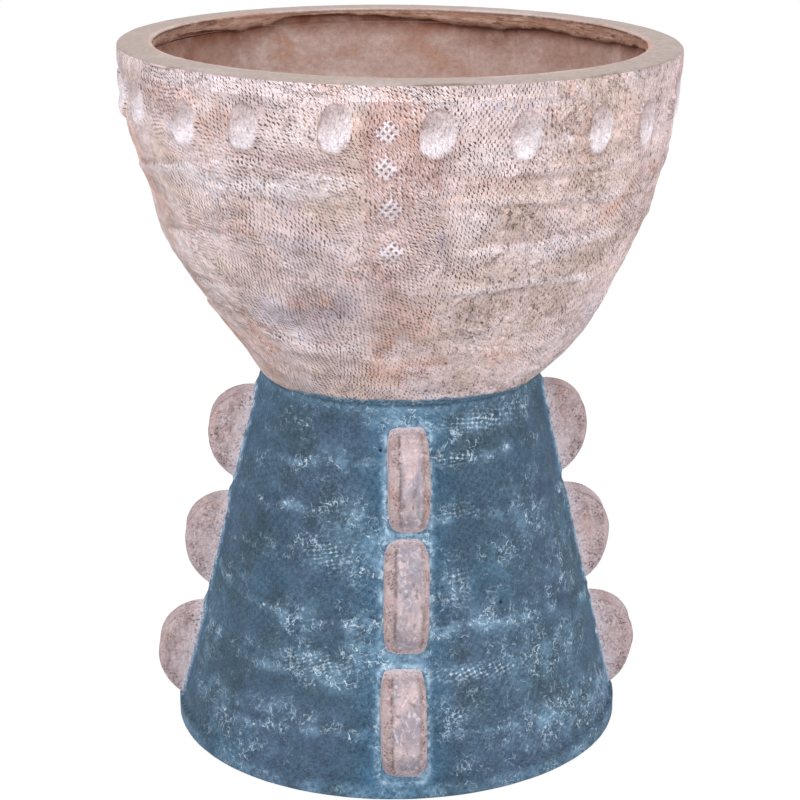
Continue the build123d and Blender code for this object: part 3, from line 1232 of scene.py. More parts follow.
@dataclass(frozen=True)
class TornEdge:
    """The ragged lower edge of the rim's inside, and the brown wash that ran down below it.

    Args (fields):
        path: azimuth in degrees, depth of the edge below the rim's crown in metres, and how
            brown the bowl is further down.
    """

    path: tuple[tuple[float, float, float], ...] = (
        (-90, 8.0 * MM, 0.45), (-30, 7.0 * MM, 0.1), (40, 8.0 * MM, 0.15), (88, 8.6 * MM, 0.5),
        (100, 9.6 * MM, 0.55), (110, 12.0 * MM, 0.6), (120, 13.4 * MM, 0.6), (129, 12.4 * MM, 0.55),
        (137, 10.2 * MM, 0.5), (143, 11.6 * MM, 0.45), (151, 13.0 * MM, 0.4), (160, 12.6 * MM, 0.3),
        (166, 9.4 * MM, 0.3), (172, 7.6 * MM, 0.35), (181, 5.6 * MM, 0.3), (193, 4.4 * MM, 0.3),
        (206, 4.6 * MM, 0.25), (211, 8.6 * MM, 0.2), (216, 11.6 * MM, 0.2), (222, 12.2 * MM, 0.25),
        (229, 10.4 * MM, 0.4), (238, 9.0 * MM, 0.6), (252, 9.0 * MM, 0.6),
    )

    def depth(self, azimuth: Array) -> Array:
        """How far below the crown the edge hangs at each azimuth."""
        turn, depths, _ = np.array(self.path).T
        ragged = 0.5 * MM * ripple(azimuth, 34, 60) + 0.35 * MM * ripple(azimuth, 37, 160)
        return np.maximum(np.interp(azimuth, turn, depths, period=360) + ragged, 3.4 * MM)

    def brown(self, azimuth: Array) -> Array:
        """How brown the bowl's inside is well below the edge."""
        turn, _, browns = np.array(self.path).T
        return np.interp(azimuth, turn, browns, period=360)


@dataclass(frozen=True)
class Slump:
    """How the wet pot leaned towards +X and drew in round its waist.

    Args (fields):
        knots: height, shift towards +X and loss of radius, in metres.
    """

    knots: tuple[tuple[float, float, float], ...] = (
        (0.200, 0.0, 0.0),
        (0.256, 1.1 * MM, 1.9 * MM),
        (0.276, 5.6 * MM, 2.4 * MM),
        (0.300, 5.6 * MM, 2.4 * MM),
        (0.328, 2.7 * MM, 1.8 * MM),
        (0.352, 0.6 * MM, 0.2 * MM),
        (0.400, 0.0, 0.0),
    )

    def settle(self, points: Array) -> Array:
        """Where the points went, one row of x, y and z each."""
        heights, shift, loss = np.array(self.knots).T
        away = np.maximum(np.linalg.norm(points[:, :2], axis=1), 1 * MM)
        moved = points.copy()
        moved[:, :2] *= (1 - np.interp(points[:, 2], heights, loss) / away)[:, None]
        moved[:, 0] += np.interp(points[:, 2], heights, shift)
        return moved


@dataclass
class TurnedPiece:
    """A piece turned on the wheel from a closed section."""

    glazes: Glazes
    wall_recipe: Recipe
    seed: float = 4.0
    columns: int = 580  # steps round the piece
    wobble: float = 5.0 * MM  # range of the slow unevenness
    grain: float = 5.0 * MM  # range of the quick unevenness

    def turn(self, name: str, outline: Object, finish: Finish, extra: Steps = ()) -> Object:
        """Turn a section and keep it as a plain mesh.

        Args:
            name: the piece's name.
            outline: the section's object.
            finish: what covers it.
            extra: more trees to run after the turning.

        Returns:
            The turned object.
        """
        inputs = {
            "Columns": self.columns,
            "Wobble": self.wobble,
            "Grain": self.grain,
            "Seed": self.seed,
            "Finish": self.glazes[finish],
        }
        return grow(outline, name, [(self.wall_recipe, inputs), *extra])


@dataclass
class Bowl(TurnedPiece):
    """The deep coiled bowl with its thumb prints, its pressed squares and its floor."""

    press_recipe: Recipe = None
    neck_radius: float = 99 * MM
    belly: float = 20 * MM
    wall: float = 18 * MM
    floor_thickness: float = 18 * MM
    cove: float = 24 * MM
    drain_radius: float = 12.5 * MM
    slump: Slump = Slump()
    torn_edge: TornEdge = TornEdge()
    rim_height: float = 12 * MM
    lap_height: float = 5.5 * MM  # how far the slip laps up the bowl in front
    lap_azimuth: float = 5.0
    band_left: float = -8.8
    band_right: float = 5.8
    band_relief: float = 1.5 * MM
    band_foot: Row = (0.262, 0.30)  # heights between which the front band comes out of the wall
    band_flush: Row = (0.30, 0.42)  # heights between which its colour warms
    band_seams: Row = (0.27, 0.32)  # heights between which the painted shade on its edges starts
    wash_reach: Row = (0.085, 0.03)  # below the rim: where the brown wash ends, and where it is full
    print_count: int = 21
    print_drop: float = 20 * MM
    print_depth: float = 5.0 * MM
    print_half_length: float = 16.5 * MM
    print_lean: float = 13.0

    # azimuth in degrees, height and half width in metres, of the prints that are listed one by one
    set_prints: tuple[Row, ...] = (
        (-66.0, 0.4535, 0.0118), (-47.6, 0.4495, 0.0114), (-32.6, 0.4530, 0.0116),
        (-14.2, 0.4560, 0.0114), (4.6, 0.4535, 0.0122), (21.6, 0.4505, 0.0116),
        (38.6, 0.4490, 0.0112), (53.5, 0.4465, 0.0106),
    )
    squares: tuple[Row, ...] = ((-4.7, 0.4545), (-5.1, 0.4320), (-4.2, 0.4060), (-4.1, 0.3775))
    square_half: float = 6.3 * MM
    square_lean: float = 0.68  # radians
    square_depth: float = 1.4 * MM
    ledge_gain: float = 1.7  # how much stronger the bowl's ledges are than the rule for a ledge
    chalk_gain: float = 1.6
    ledges: tuple[Ledge, ...] = (
        Ledge(
            ((-78, 0.409), (-51, 0.424), (-42, 0.429), (-31, 0.434), (-22, 0.429), (-12, 0.425)),
            2.2 * MM,
            pale=0.7,
        ),
        Ledge(((-68, 0.371), (-55, 0.376), (-38, 0.382), (-23, 0.384), (-13, 0.384)), 1.4 * MM, pale=0.3),
        Ledge(((-70, 0.334), (-60, 0.337), (-38, 0.344)), 1.2 * MM, pale=0.2),
        Ledge(((-46, 0.311), (-37, 0.305), (-28, 0.304), (-17, 0.307)), 1.8 * MM, pale=0.8, fade=11 * MM),
        Ledge(((7, 0.429), (18, 0.426), (30, 0.425), (50, 0.421)), 1.3 * MM, Lap.ABOVE, pale=0.2),
        Ledge(((14, 0.407), (24, 0.406), (35, 0.402), (56, 0.399)), 1.7 * MM, Lap.ABOVE, pale=0.3),
        Ledge(((11, 0.379), (23, 0.381), (33, 0.381), (52, 0.378)), 1.8 * MM, pale=0.6),
        Ledge(((8, 0.344), (18, 0.344), (28, 0.346), (48, 0.343)), 1.6 * MM, Lap.ABOVE, pale=0.6),
        Ledge(((12, 0.305), (30, 0.301), (52, 0.305)), 1.2 * MM, pale=0.2),
        Ledge(((66, 0.418), (90, 0.412), (126, 0.419)), 0.9 * MM),
        Ledge(((74, 0.370), (104, 0.363), (140, 0.372)), 0.9 * MM, Lap.ABOVE),
        Ledge(((118, 0.396), (152, 0.402), (196, 0.392), (226, 0.400)), 2.0 * MM),
        Ledge(((150, 0.340), (190, 0.331), (232, 0.343)), 1.8 * MM),
        Ledge(((204, 0.435), (236, 0.426), (262, 0.432)), 1.5 * MM, Lap.ABOVE),
        Ledge(((230, 0.311), (255, 0.304), (285, 0.310)), 1.6 * MM),
    )
    dabs: tuple[Dab, ...] = dab_set(
        (-47, 0.414, 9, 0.007, 1.1), (-32, 0.416, 9, 0.006, 1.5), (-19, 0.416, 8, 0.006, 1.0),
        (-60, 0.360, 6, 0.016, 0.6), (-35, 0.305, 7, 0.009, 1.1), (-43, 0.320, 10, 0.012, 0.6),
        (-58, 0.331, 6, 0.014, 0.5), (12, 0.394, 4, 0.014, 0.8), (30, 0.370, 9, 0.006, 0.7),
        (15, 0.438, 5, 0.008, 0.6), (30, 0.444, 3, 0.010, 0.5), (-22, 0.450, 4, 0.008, 0.6),
        (-14, 0.474, 6, 0.006, 0.4), (10, 0.472, 8, 0.005, 0.4), (20, 0.313, 9, 0.012, 0.5),
        (-10, 0.348, 4, 0.012, 0.5),
    )
    blushes: tuple[Dab, ...] = dab_set(
        (-20, 0.434, 14, 0.008), (-55, 0.460, 9, 0.010), (20, 0.424, 16, 0.008),
        (40, 0.455, 16, 0.014, 0.7), (-45, 0.385, 16, 0.010, 0.8), (-8, 0.352, 6, 0.02, 0.9),
        (62, 0.40, 14, 0.02, 0.7), (30, 0.33, 16, 0.012, 0.8),
    )
    hollows: tuple[Dab, ...] = dab_set(
        (-91, 0.392, 34, 0.026, 4.0 * MM), (-90, 0.453, 30, 0.013, 4.6 * MM),
        (88, 0.447, 26, 0.014, 2.2 * MM), (90, 0.400, 24, 0.012, 2.0 * MM),
    )
    stains: tuple[Dab, ...] = dab_set(
        (17, 0.468, 6, 0.005, 0.8), (-9, 0.472, 3, 0.004, 0.5), (5, 0.474, 4, 0.005, 0.8),
        (6, 0.384, 3, 0.008, 0.8), (8, 0.350, 3, 0.016, 0.25), (24, 0.396, 7, 0.005, 0.3),
        (-18, 0.370, 8, 0.008, 0.4), (12, 0.329, 7, 0.012, 0.25), (4, 0.270, 6, 0.008, 0.6),
        (-24, 0.382, 9, 0.006, 0.4), (-40, 0.322, 8, 0.010, 0.55), (-30, 0.470, 16, 0.006, 0.35),
        (27, 0.472, 9, 0.005, 0.5),
    )

    shades: tuple[Dab, ...] = dab_set(
        (-6, 0.325, 15, 0.028, 0.20), (-24, 0.350, 8, 0.012, 0.12),
    )

    def __post_init__(self) -> None:
        """Take the bowl's place from the frame."""
        low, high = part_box("bowl")
        self.seat, self.top = low.z, high.z
        self.top_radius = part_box("rim")[1].x - 0.35 * MM
        self.side = Arc((self.neck_radius, self.seat), (self.top_radius, self.top), self.belly)

    def section(self) -> Object:
        """The closed section: out and up, in under the rim, down inside, and out below."""
        hollow = self.side.radius - self.wall
        centre = self.side.centre
        floor = self.seat + self.floor_thickness
        cove_height = floor + self.cove
        cove_reach = centre[0] + math.sqrt((hollow - self.cove) ** 2 - (cove_height - centre[1]) ** 2)
        meet = math.degrees(math.atan2(cove_height - centre[1], cove_reach - centre[0]))
        mouth = math.degrees(math.asin((self.top - centre[1]) / hollow))
        inner = quarter(centre, hollow, mouth, meet, 20)
        drawn = Section()
        side = self.side.spread(120)
        drawn.draw(side[:-5], outside=1, give=1)
        drawn.draw(side[-6:], outside=1, give=(1, 0))
        drawn.draw(line((self.top_radius, self.top), inner[0], 4), outside=(1, 0), give=(0, 0.5))
        drawn.draw(inner, inside=1, give=0.5)
        drawn.draw(quarter((cove_reach, cove_height), self.cove, meet, -90, 6), inside=1, give=0.4)
        drawn.draw(line((cove_reach, floor), (self.drain_radius, floor), 8), inside=1, give=0.2)
        drawn.draw(line((self.drain_radius, floor), (self.drain_radius, self.seat), 3))
        drawn.draw(line((self.drain_radius, self.seat), (self.neck_radius, self.seat), 5), give=(0, 1))
        return drawn.outline("bowl_section", 0.0)

    def on_wall(self, azimuth: float, height: float) -> tuple[float, float, float]:
        """The point of the outside at an azimuth and a height."""
        centre = self.side.centre
        reach = centre[0] + math.sqrt(self.side.radius**2 - (height - centre[1]) ** 2)
        angle = math.radians(azimuth)
        return reach * math.sin(angle), -reach * math.cos(angle), height

    def thumb_prints(self) -> Object:
        """The ring of prints: those listed, then the rest by a rule with seeded slips."""
        random = np.random.default_rng(21)
        pitch = 360 / self.print_count
        prints = list(self.set_prints)
        while len(prints) < self.print_count:
            azimuth = self.set_prints[-1][0] + pitch * (len(prints) - len(self.set_prints) + 1)
            slip = random.normal(size=3)
            height = self.top - self.print_drop + 1.8 * MM * slip[1]
            prints.append((azimuth + 1.1 * slip[0], height, (10.4 + 0.6 * slip[2]) * MM))
        return self.mark_points(
            "print_marks",
            prints,
            half_width=np.array([half for _, _, half in prints]),
            half_length=self.print_half_length,
            lean=np.radians(self.print_lean + 1.5 * random.normal(size=len(prints))),
            depth=self.print_depth,
        )

    def pressed_squares(self) -> Object:
        """The column of squares where folded sacking was pressed in."""
        return self.mark_points(
            "square_marks",
            self.squares,
            half_width=self.square_half,
            half_length=self.square_half,
            lean=self.square_lean,
            depth=self.square_depth,
        )

    def mark_points(self, name: str, spots: Sequence[Row], **marks: Array | float) -> Object:
        """Points of the outside where something is pressed in.

        Args:
            name: the object's name.
            spots: azimuth and height of each, first in its row.
            marks: half_width, half_length, lean and depth, for all or one for each.

        Returns:
            The object that a wall's marks are read from.
        """
        points = np.array([self.on_wall(*spot[:2]) for spot in spots])
        spread = {label: np.broadcast_to(values, len(points)) for label, values in marks.items()}
        return mesh_object(name, points, [], spread)

    def work(self, mesh: Mesh) -> None:
        """Lap the coils, wrap the front band, and mark wear, painted shade, stain and the inside wash."""
        points = read_points(mesh)
        azimuth, height = azimuths(points), points[:, 2]
        outside = read_mark(mesh, "outside")
        relief, wear, dirt = (np.zeros(len(points)) for _ in range(3))
        for ledge in self.ledges:
            lift, pale, dark = ledge.lay(azimuth, height)
            relief += self.ledge_gain * lift
            wear += self.chalk_gain * pale * (0.7 + 0.4 * ripple(azimuth, 7, 40))
            dirt = np.maximum(dirt, dark * (0.42 + 0.25 * ripple(azimuth, 8, 50)))
        sway = 0.7 * ripple(height * 900, 5)
        band = smooth(azimuth, self.band_left + sway - 0.6, self.band_left + sway + 0.6)
        band *= smooth(azimuth, self.band_right + sway + 0.6, self.band_right + sway - 0.6)
        relief += self.band_relief * band * smooth(height, *self.band_foot)
        rust = band * smooth(height, *self.band_flush) * 0.9 + 0.6 * painted(self.blushes, azimuth, height)
        # painted shade along the front band's stepped edges
        right_edge = bump(apart(azimuth, self.band_right + 0.8) - sway, 0.8)
        left_edge = bump(apart(azimuth, self.band_left - 0.6) - sway, 0.5)
        dirt = np.maximum(dirt, (0.22 * right_edge + 0.3 * left_edge) * smooth(height, *self.band_seams))
        wear = painted(self.dabs, azimuth, height, wear)
        stain = painted(self.stains, azimuth, height)
        # darker patches low on the front
        dirt = np.maximum(dirt, painted(self.shades, azimuth, height))
        relief -= painted(self.hollows, azimuth, height)
        keep = outside * smooth(height, self.seat, self.seat + 8 * MM)
        keep = keep * smooth(height, self.top - 1 * MM, self.top - 7 * MM)
        out = points[:, :2] / np.linalg.norm(points[:, :2], axis=1, keepdims=True)
        points[:, :2] += out * (relief * keep)[:, None]
        points = self.slump.settle(points)
        points[:, :2] *= np.minimum(1, self.top_radius / np.linalg.norm(points[:, :2], axis=1))[:, None]
        points[points[:, 2] < self.seat + 0.7 * MM, 2] = self.seat
        write_points(mesh, points)
        self.mark_lap(mesh, azimuth, height, outside)
        write_marks(mesh, {"rust": rust}, outside)
        write_mark(mesh, "wear", np.clip(wear, 0, 1.4) * outside)
        write_marks(mesh, {"dirt": dirt, "stain": stain}, outside)
        self.mark_wash(mesh, azimuth, height)

    def mark_lap(self, mesh: Mesh, azimuth: Array, height: Array, outside: Array) -> None:
        """Mark the slip that laps up over the seat, and the chalk on its edge."""
        reach_up = self.lap_height * bump(apart(azimuth, self.lap_azimuth), 58)
        lap = self.seat + reach_up + 0.8 * MM * ripple(azimuth, 9, 50)
        write_mark(mesh, "slip", smooth(height, lap + 1 * MM, lap - 1 * MM) * outside)
        edge = bump(height - lap - 0.5 * MM, 0.9 * MM) * bump(apart(azimuth, self.lap_azimuth), 26)
        write_mark(mesh, "edge", edge * (0.6 + 0.5 * ripple(azimuth, 10, 60)) * outside)

    def mark_wash(self, mesh: Mesh, azimuth: Array, height: Array) -> None:
        """Mark the brown wash that ran down the inside from the rim's torn edge."""
        below = self.top + self.rim_height - height
        edge_depth = self.torn_edge.depth(azimuth) + 2.5 * MM * ripple(azimuth, 12, 20)
        run = smooth(below, edge_depth + 20 * MM, edge_depth + 4 * MM)
        lower = self.torn_edge.brown(azimuth) * smooth(below, *self.wash_reach)
        write_marks(mesh, {"wash": np.maximum(run, lower)}, read_mark(mesh, "inside"))
        write_mark(mesh, "torn", np.zeros(len(height)))

    def build(self) -> Object:
        """Make, shape and dress the bowl."""
        prints, squares = self.thumb_prints(), self.pressed_squares()
        finish = self.glazes[Finish.BOWL]
        steps = [
            (self.press_recipe, {"Marks": prints, "Corners": 2.4, "Name": "thumb", "Finish": finish}),
            (self.press_recipe, {"Marks": squares, "Corners": 5.0, "Name": "square", "Finish": finish}),
        ]
        piece = self.turn("bowl_wall", self.section(), Finish.BOWL, steps)
        for marks in (prints, squares):
            bpy.data.objects.remove(marks)
        self.work(piece.data)
        lining = least_of_faces(piece.data, "outside") < 0.5
        add_finish(piece.data, self.glazes[Finish.RIM], lining)
        commit(piece, Finish.BOWL.value, "bowl")
        return piece


@dataclass
class Rim(TurnedPiece):
    """The smoothed coil on the bowl's mouth, with a torn lower edge inside."""

    width: float = 24 * MM
    top_round: float = 3 * MM
    inner_round: float = 2 * MM
    under_round: float = 1 * MM
    lip: float = 6.0 * MM  # height of the torn inner face before it is pulled down
    overhang: float = 5.9 * MM
    tilt: float = 1.6 * MM  # how much lower the rim is at +X than at -X
    rise_start: float = 0.238
    cover: float = 1.7 * MM  # height of the smooth clay down the outer face
    torn_edge: TornEdge = TornEdge()

    def __post_init__(self) -> None:
        """Take the rim's place from the frame."""
        low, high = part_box("rim")
        self.bottom, self.top, self.outer = low.z, high.z, high.x - 0.3 * MM
        self.crown = self.top - 0.3 * MM

    def section(self) -> Object:
        """The closed section: up outside, over the top, down inside and back below."""
        outer, inner, crown = self.outer, self.outer - self.width, self.crown
        edge, soft, under = self.top_round, self.inner_round, self.under_round
        eave, back = crown - self.lip, inner + self.overhang
        drawn = Section()
        drawn.draw(line((outer, self.bottom), (outer, crown - edge), 12), outside=1, give=(0, 0.25))
        drawn.draw(quarter((outer - edge, crown - edge), edge, 0, 90, 7), outside=(1, 0), give=(0.3, 0.12))
        drawn.draw(line((outer - edge, crown), (inner + soft, crown), 9), give=0.12)
        drawn.draw(quarter((inner + soft, crown - soft), soft, 90, 180, 6), give=(0.12, 0.5))
        drawn.draw(line((inner, crown - soft), (inner, eave + under), 9), inside=1, give=(0.5, 0.8))
        drawn.draw(quarter((inner + under, eave + under), under, 180, 270, 4), inside=1, give=0.8)
        drawn.draw(line((inner + under, eave), (back, eave), 5), inside=1, give=(0.8, 0.5))
        drawn.draw(line((back, eave), (back, self.bottom), 6), inside=1, give=0.5)
        drawn.draw(line((back, self.bottom), (outer, self.bottom), 7), give=(0.5, 0))
        return drawn.outline("rim_section", self.rise_start)

    def work(self, mesh: Mesh) -> None:
        """Sag the torn inner edge and mark painted shadows under the top's outer edge and under the torn
        edge, a dark line below the crown, the torn clay and the wash.
        """
        points = read_points(mesh)
        azimuth, height = azimuths(points), points[:, 2].copy()
        reach = np.linalg.norm(points[:, :2], axis=1)
        inner, eave = self.outer - self.width, self.crown - self.lip
        near = smooth(reach, inner + 5 * MM, inner + 2 * MM)
        depth = self.torn_edge.depth(azimuth)
        down = np.clip((self.crown - self.inner_round - height) / (self.lip - self.inner_round), 0, 1) * near
        points[:, 2] -= down * (depth - self.lip)
        sideways = (points[:, 0] / self.outer + 1) / 2  # 0 at -X, 1 at +X
        points[:, 2] -= self.tilt * sideways * smooth(height, self.bottom, self.crown)
        points[:, 2] = np.minimum(points[:, 2], self.top)
        points[:, :2] *= np.minimum(1, self.outer / reach)[:, None]
        write_points(mesh, points)
        outside, inside = read_mark(mesh, "outside"), read_mark(mesh, "inside")
        line_height = self.crown - self.cover + 0.5 * MM * ripple(azimuth, 35, 50)
        # painted shadow under the top's outer edge
        seam_shadow = bump(height - line_height, 0.7 * MM) * smooth(reach, self.outer - 4 * MM, self.outer - 1 * MM)
        # painted shadow under the torn edge's lip
        lower = bump(height - eave, 1.0 * MM) * near * (0.75 + 0.35 * ripple(azimuth, 36, 50))
        # a dark line just below the crown's inner edge, browner where the wash is
        crease = bump(height - self.crown + 1.6 * MM, 0.5 * MM) * near * self.torn_edge.brown(azimuth) * 2.2
        dirt = seam_shadow * (0.22 + 0.4 * ripple(azimuth, 32, 70)) + lower + crease
        write_marks(mesh, {"dirt": dirt})
        write_mark(mesh, "torn", smooth(height, self.crown - 0.8 * MM, self.crown - 2.0 * MM) * near)
        hidden = inside * smooth(reach, inner + 1.5 * MM, inner + 4 * MM)
        write_marks(mesh, {"wash": hidden + 0.08 * near})
        write_marks(mesh, {"inside": near + inside}, 1 - outside)
        brushed = (0.2 + 0.9 * bump(apart(azimuth, -20), 26)) * (0.6 + 0.5 * ripple(azimuth, 38, 40))
        write_marks(mesh, {"wear": brushed}, outside)
        for name in ("stain", "rust", "slip", "edge"):
            write_mark(mesh, name, np.zeros(len(points)))

    def build(self) -> Object:
        """Make, shape and dress the rim."""
        piece = self.turn("rim_coil", self.section(), Finish.RIM)
        self.work(piece.data)
        outer_face = least_of_faces(piece.data, "outside") > 0.5
        add_finish(piece.data, self.glazes[Finish.BOWL], outer_face)
        commit(piece, Finish.RIM.value, "rim")
        return piece


@dataclass(frozen=True)
class FinPlace:
    """Where one fin sits: azimuth in degrees, seat on the wall, tilt in radians, and its slips."""

    node: str
    azimuth: float
    reach: float
    height: float
    tilt: float
    half_length: float
    half_width: float
    hand: FinHand
    cant: float
    seed: float


@dataclass
class Pedestal(TurnedPiece):
    """The flared pedestal under blue slip, open at the foot."""

    neck_radius: float = 99 * MM
    wall: float = 16 * MM
    band_height: float = 14 * MM
    step: float = 3 * MM
    edge_round: float = 2 * MM
    dip: float = -1.5 * MM
    columns: int = 640
    wobble: float = 4.0 * MM
    grain: float = 4.0 * MM
    slump: Slump = Slump()
    foot_lean: float = 4.0 * MM
    foot_lean_azimuth: float = -28.0
    lute: float = 1.4 * MM
    fin_round: float = 5.5 * MM  # round of the corners of a fin's outline on the wall
    fin_sink: float = 6 * MM  # how far inside that outline the lute starts
    lean_reach: Row = (0.075, 0.012)  # heights where the foot's lean starts, and where it is full
    ledges: tuple[Ledge, ...] = (
        Ledge(((-52, 0.216), (-40, 0.217), (-28, 0.220), (-7, 0.221)), 0.9 * MM, pale=0.5),
        Ledge(((-60, 0.182), (-38, 0.185), (-23, 0.188), (-7, 0.187)), 1.3 * MM, pale=0.6),
        Ledge(((7, 0.225), (20, 0.224), (34, 0.222), (50, 0.226)), 1.1 * MM, pale=0.5),
        Ledge(((7, 0.188), (34, 0.184), (58, 0.185), (84, 0.176)), 1.6 * MM, pale=0.6),
        Ledge(((7, 0.114), (29, 0.113), (60, 0.107), (88, 0.093)), 1.8 * MM, pale=0.7),
        Ledge(((-80, 0.123), (-50, 0.117), (-25, 0.114), (-7, 0.117)), 1.0 * MM, pale=0.5),
        Ledge(((7, 0.043), (31, 0.043), (56, 0.037), (80, 0.042)), 1.5 * MM, pale=0.6),
        Ledge(((-70, 0.038), (-44, 0.038), (-29, 0.043), (-8, 0.046)), 1.5 * MM, pale=0.5),
        Ledge(((-66, 0.083), (-44, 0.079), (-22, 0.083)), 0.9 * MM, pale=0.4),
        Ledge(((96, 0.214), (130, 0.208), (172, 0.216)), 1.4 * MM),
        Ledge(((98, 0.151), (140, 0.158), (176, 0.151)), 1.5 * MM),
        Ledge(((96, 0.085), (128, 0.077), (174, 0.087)), 1.5 * MM),
        Ledge(((184, 0.190), (222, 0.180), (262, 0.190)), 1.4 * MM),
        Ledge(((186, 0.121), (226, 0.129), (264, 0.119)), 1.6 * MM),
        Ledge(((184, 0.057), (220, 0.049), (262, 0.057)), 1.4 * MM),
    )

    dabs: tuple[Dab, ...] = dab_set(
        (-20, 0.184, 9, 0.014, 0.8), (-13, 0.156, 6, 0.016, 0.8), (-33, 0.110, 9, 0.010, 0.8),
        (-13, 0.112, 6, 0.010, 1.0), (-12, 0.096, 5, 0.012, 1.0), (-28, 0.086, 14, 0.008, 0.7),
        (-20, 0.074, 10, 0.008, 0.8), (-26, 0.220, 10, 0.008, 0.5), (-10, 0.248, 8, 0.010, 0.6),
        (-27, 0.156, 10, 0.010, 0.5), (-33, 0.048, 12, 0.008, 0.5), (-46, 0.020, 12, 0.010, 0.5),
        (-60, 0.040, 14, 0.012, 0.4), (-72, 0.074, 8, 0.020, 0.5), (17, 0.220, 8, 0.006, 0.7),
        (15, 0.186, 6, 0.005, 0.7), (14, 0.136, 6, 0.014, 0.5), (13, 0.108, 6, 0.010, 0.7),
        (16, 0.080, 10, 0.006, 0.7), (11, 0.052, 5, 0.012, 0.5), (35, 0.154, 9, 0.014, 0.5),
        (47, 0.172, 9, 0.014, 0.5), (25, 0.242, 14, 0.008, 0.8), (52, 0.244, 12, 0.010, 0.8),
        (25, 0.114, 10, 0.008, 0.7), (52, 0.080, 14, 0.014, 0.6), (52, 0.036, 18, 0.014, 0.8),
        (74, 0.030, 14, 0.016, 0.7), (130, 0.150, 20, 0.020, 0.6), (205, 0.100, 20, 0.020, 0.6),
        (-8, 0.172, 5, 0.006, 1.0), (0, 0.171, 6, 0.005, 1.0), (-1, 0.090, 6, 0.006, 1.0),
        (-2, 0.250, 6, 0.005, 0.8), (-7, 0.150, 3, 0.016, 0.8), (36, 0.085, 24, 0.040, 0.22),
        (48, 0.030, 26, 0.020, 0.3), (60, 0.150, 20, 0.050, 0.2),
    )
    cloths: tuple[Dab, ...] = dab_set(
        (17, 0.220, 7, 0.004, 0.9), (15, 0.186, 5, 0.004, 0.9), (15, 0.144, 5, 0.004, 0.9),
        (15, 0.128, 5, 0.004, 0.8), (22, 0.080, 16, 0.005, 1.1), (13, 0.052, 5, 0.005, 0.8),
        (32, 0.242, 18, 0.006, 0.9), (-25, 0.156, 8, 0.012, 0.7), (-26, 0.084, 12, 0.006, 0.8),
        (130, 0.120, 10, 0.010, 0.8), (215, 0.170, 10, 0.010, 0.8),
    )

    def __post_init__(self) -> None:
        """Take the pedestal's place from the frame."""
        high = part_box("pedestal")[1]
        self.height, self.foot_radius = high.z, high.x - 0.2 * MM
        foot = (self.foot_radius - self.step, self.band_height)
        self.side = Arc(foot, (self.neck_radius, self.height), self.dip)

    def section(self) -> Object:
        """The closed section: out under the foot, up the side, in at the neck, down inside."""
        foot, edge, band = self.foot_radius, self.edge_round, self.band_height
        inner_foot, inner_neck = foot - self.step - self.wall, self.neck_radius - self.wall
        band_top, chamfer = band - 1 * MM, 2 * MM
        drawn = Section()
        drawn.draw(quarter((foot - edge, edge), edge, -90, 0, 6), outside=1, give=0.15)
        drawn.draw(line((foot, edge), (foot, band_top), 6), outside=1, give=0.25)
        drawn.draw(line((foot, band_top), self.side.start, 3), outside=1, give=0.5)
        drawn.draw(self.side.spread(110), outside=1, give=1)
        drawn.draw(line(self.side.end, (inner_neck, self.height), 4), give=(1, 0))
        drawn.draw(line((inner_neck, self.height), (inner_foot, chamfer), 10), inside=1, give=0.4)
        drawn.draw(line((inner_foot, chamfer), (inner_foot + chamfer, 0.0), 3))
        drawn.draw(line((inner_foot + chamfer, 0.0), (foot - edge, 0.0), 4))
        return drawn.outline("pedestal_section", 0.0)

    def seat_at(self, distance: float) -> tuple[float, float, float]:
        """Reach, height and tilt of the wall at a distance up its side."""
        spots = self.side.spread(401)
        steps = np.concatenate([[0.0], np.cumsum(np.linalg.norm(np.diff(spots, axis=0), axis=1))])
        reach, height = (float(np.interp(distance, steps, spots[:, axis])) for axis in (0, 1))
        rise = self.side.chord / np.linalg.norm(self.side.chord)
        return reach, height, math.atan2(-rise[0], rise[1])

    def work(self, mesh: Mesh, fins: Sequence[FinPlace]) -> None:
        """Lap the coils, draw the lute up round each fin and mark halo, wear and painted crease shade."""
        points = read_points(mesh)
        azimuth, height = azimuths(points), points[:, 2]
        outside = read_mark(mesh, "outside")
        reach = np.linalg.norm(points[:, :2], axis=1)
        relief, wear, dirt, halo, line_mark, near = (np.zeros(len(points)) for _ in range(6))
        for ledge in self.ledges:
            lift, pale, dark = ledge.lay(azimuth, height)
            relief += lift
            wear += 1.4 * pale * (0.7 + 0.6 * ripple(azimuth, 17, 50))
            dirt = np.maximum(dirt, 0.5 * dark)
        for fin in fins:
            across = np.radians(apart(azimuth, fin.azimuth + 90)) * reach
            along = (height - fin.height) / math.cos(fin.tilt)
            side_gap = np.abs(across) - fin.half_width + self.fin_round
            end_gap = np.abs(along) - fin.half_length + self.fin_round
            corner = np.hypot(np.maximum(side_gap, 0), np.maximum(end_gap, 0))
            gap = corner + np.minimum(np.maximum(side_gap, end_gap), 0) - self.fin_sink
            close = 0.75 + 0.3 * ripple(azimuth + height * 700, 19, 60)
            halo = np.maximum(halo, smooth(gap, 8 * MM, 0.5 * MM) ** 2 * close)
            facing = 0.35 + 0.65 * bump(apart(fin.azimuth + 90, 0.0), 60)
            near = np.maximum(near, 0.75 * facing * smooth(gap, 24 * MM, 2 * MM))
            broken = 0.5 + 0.5 * ripple(height * 2000, 29, 50)
            line_mark = np.maximum(line_mark, bump(gap - 0.8 * MM, 0.9 * MM) * broken)
            relief += self.lute * smooth(gap, 5 * MM, 0.0)
        wear = painted(self.dabs, azimuth, height, wear)
        neck = 0.25 + 0.4 * bump(apart(azimuth, 8), 40)
        halo = np.maximum(halo, neck * smooth(height, self.height - 9 * MM, self.height - 1 * MM))
        halo = np.maximum(halo, 0.5 * smooth(height, 13 * MM, 6 * MM) * (0.8 + 0.4 * ripple(azimuth, 23, 40)))
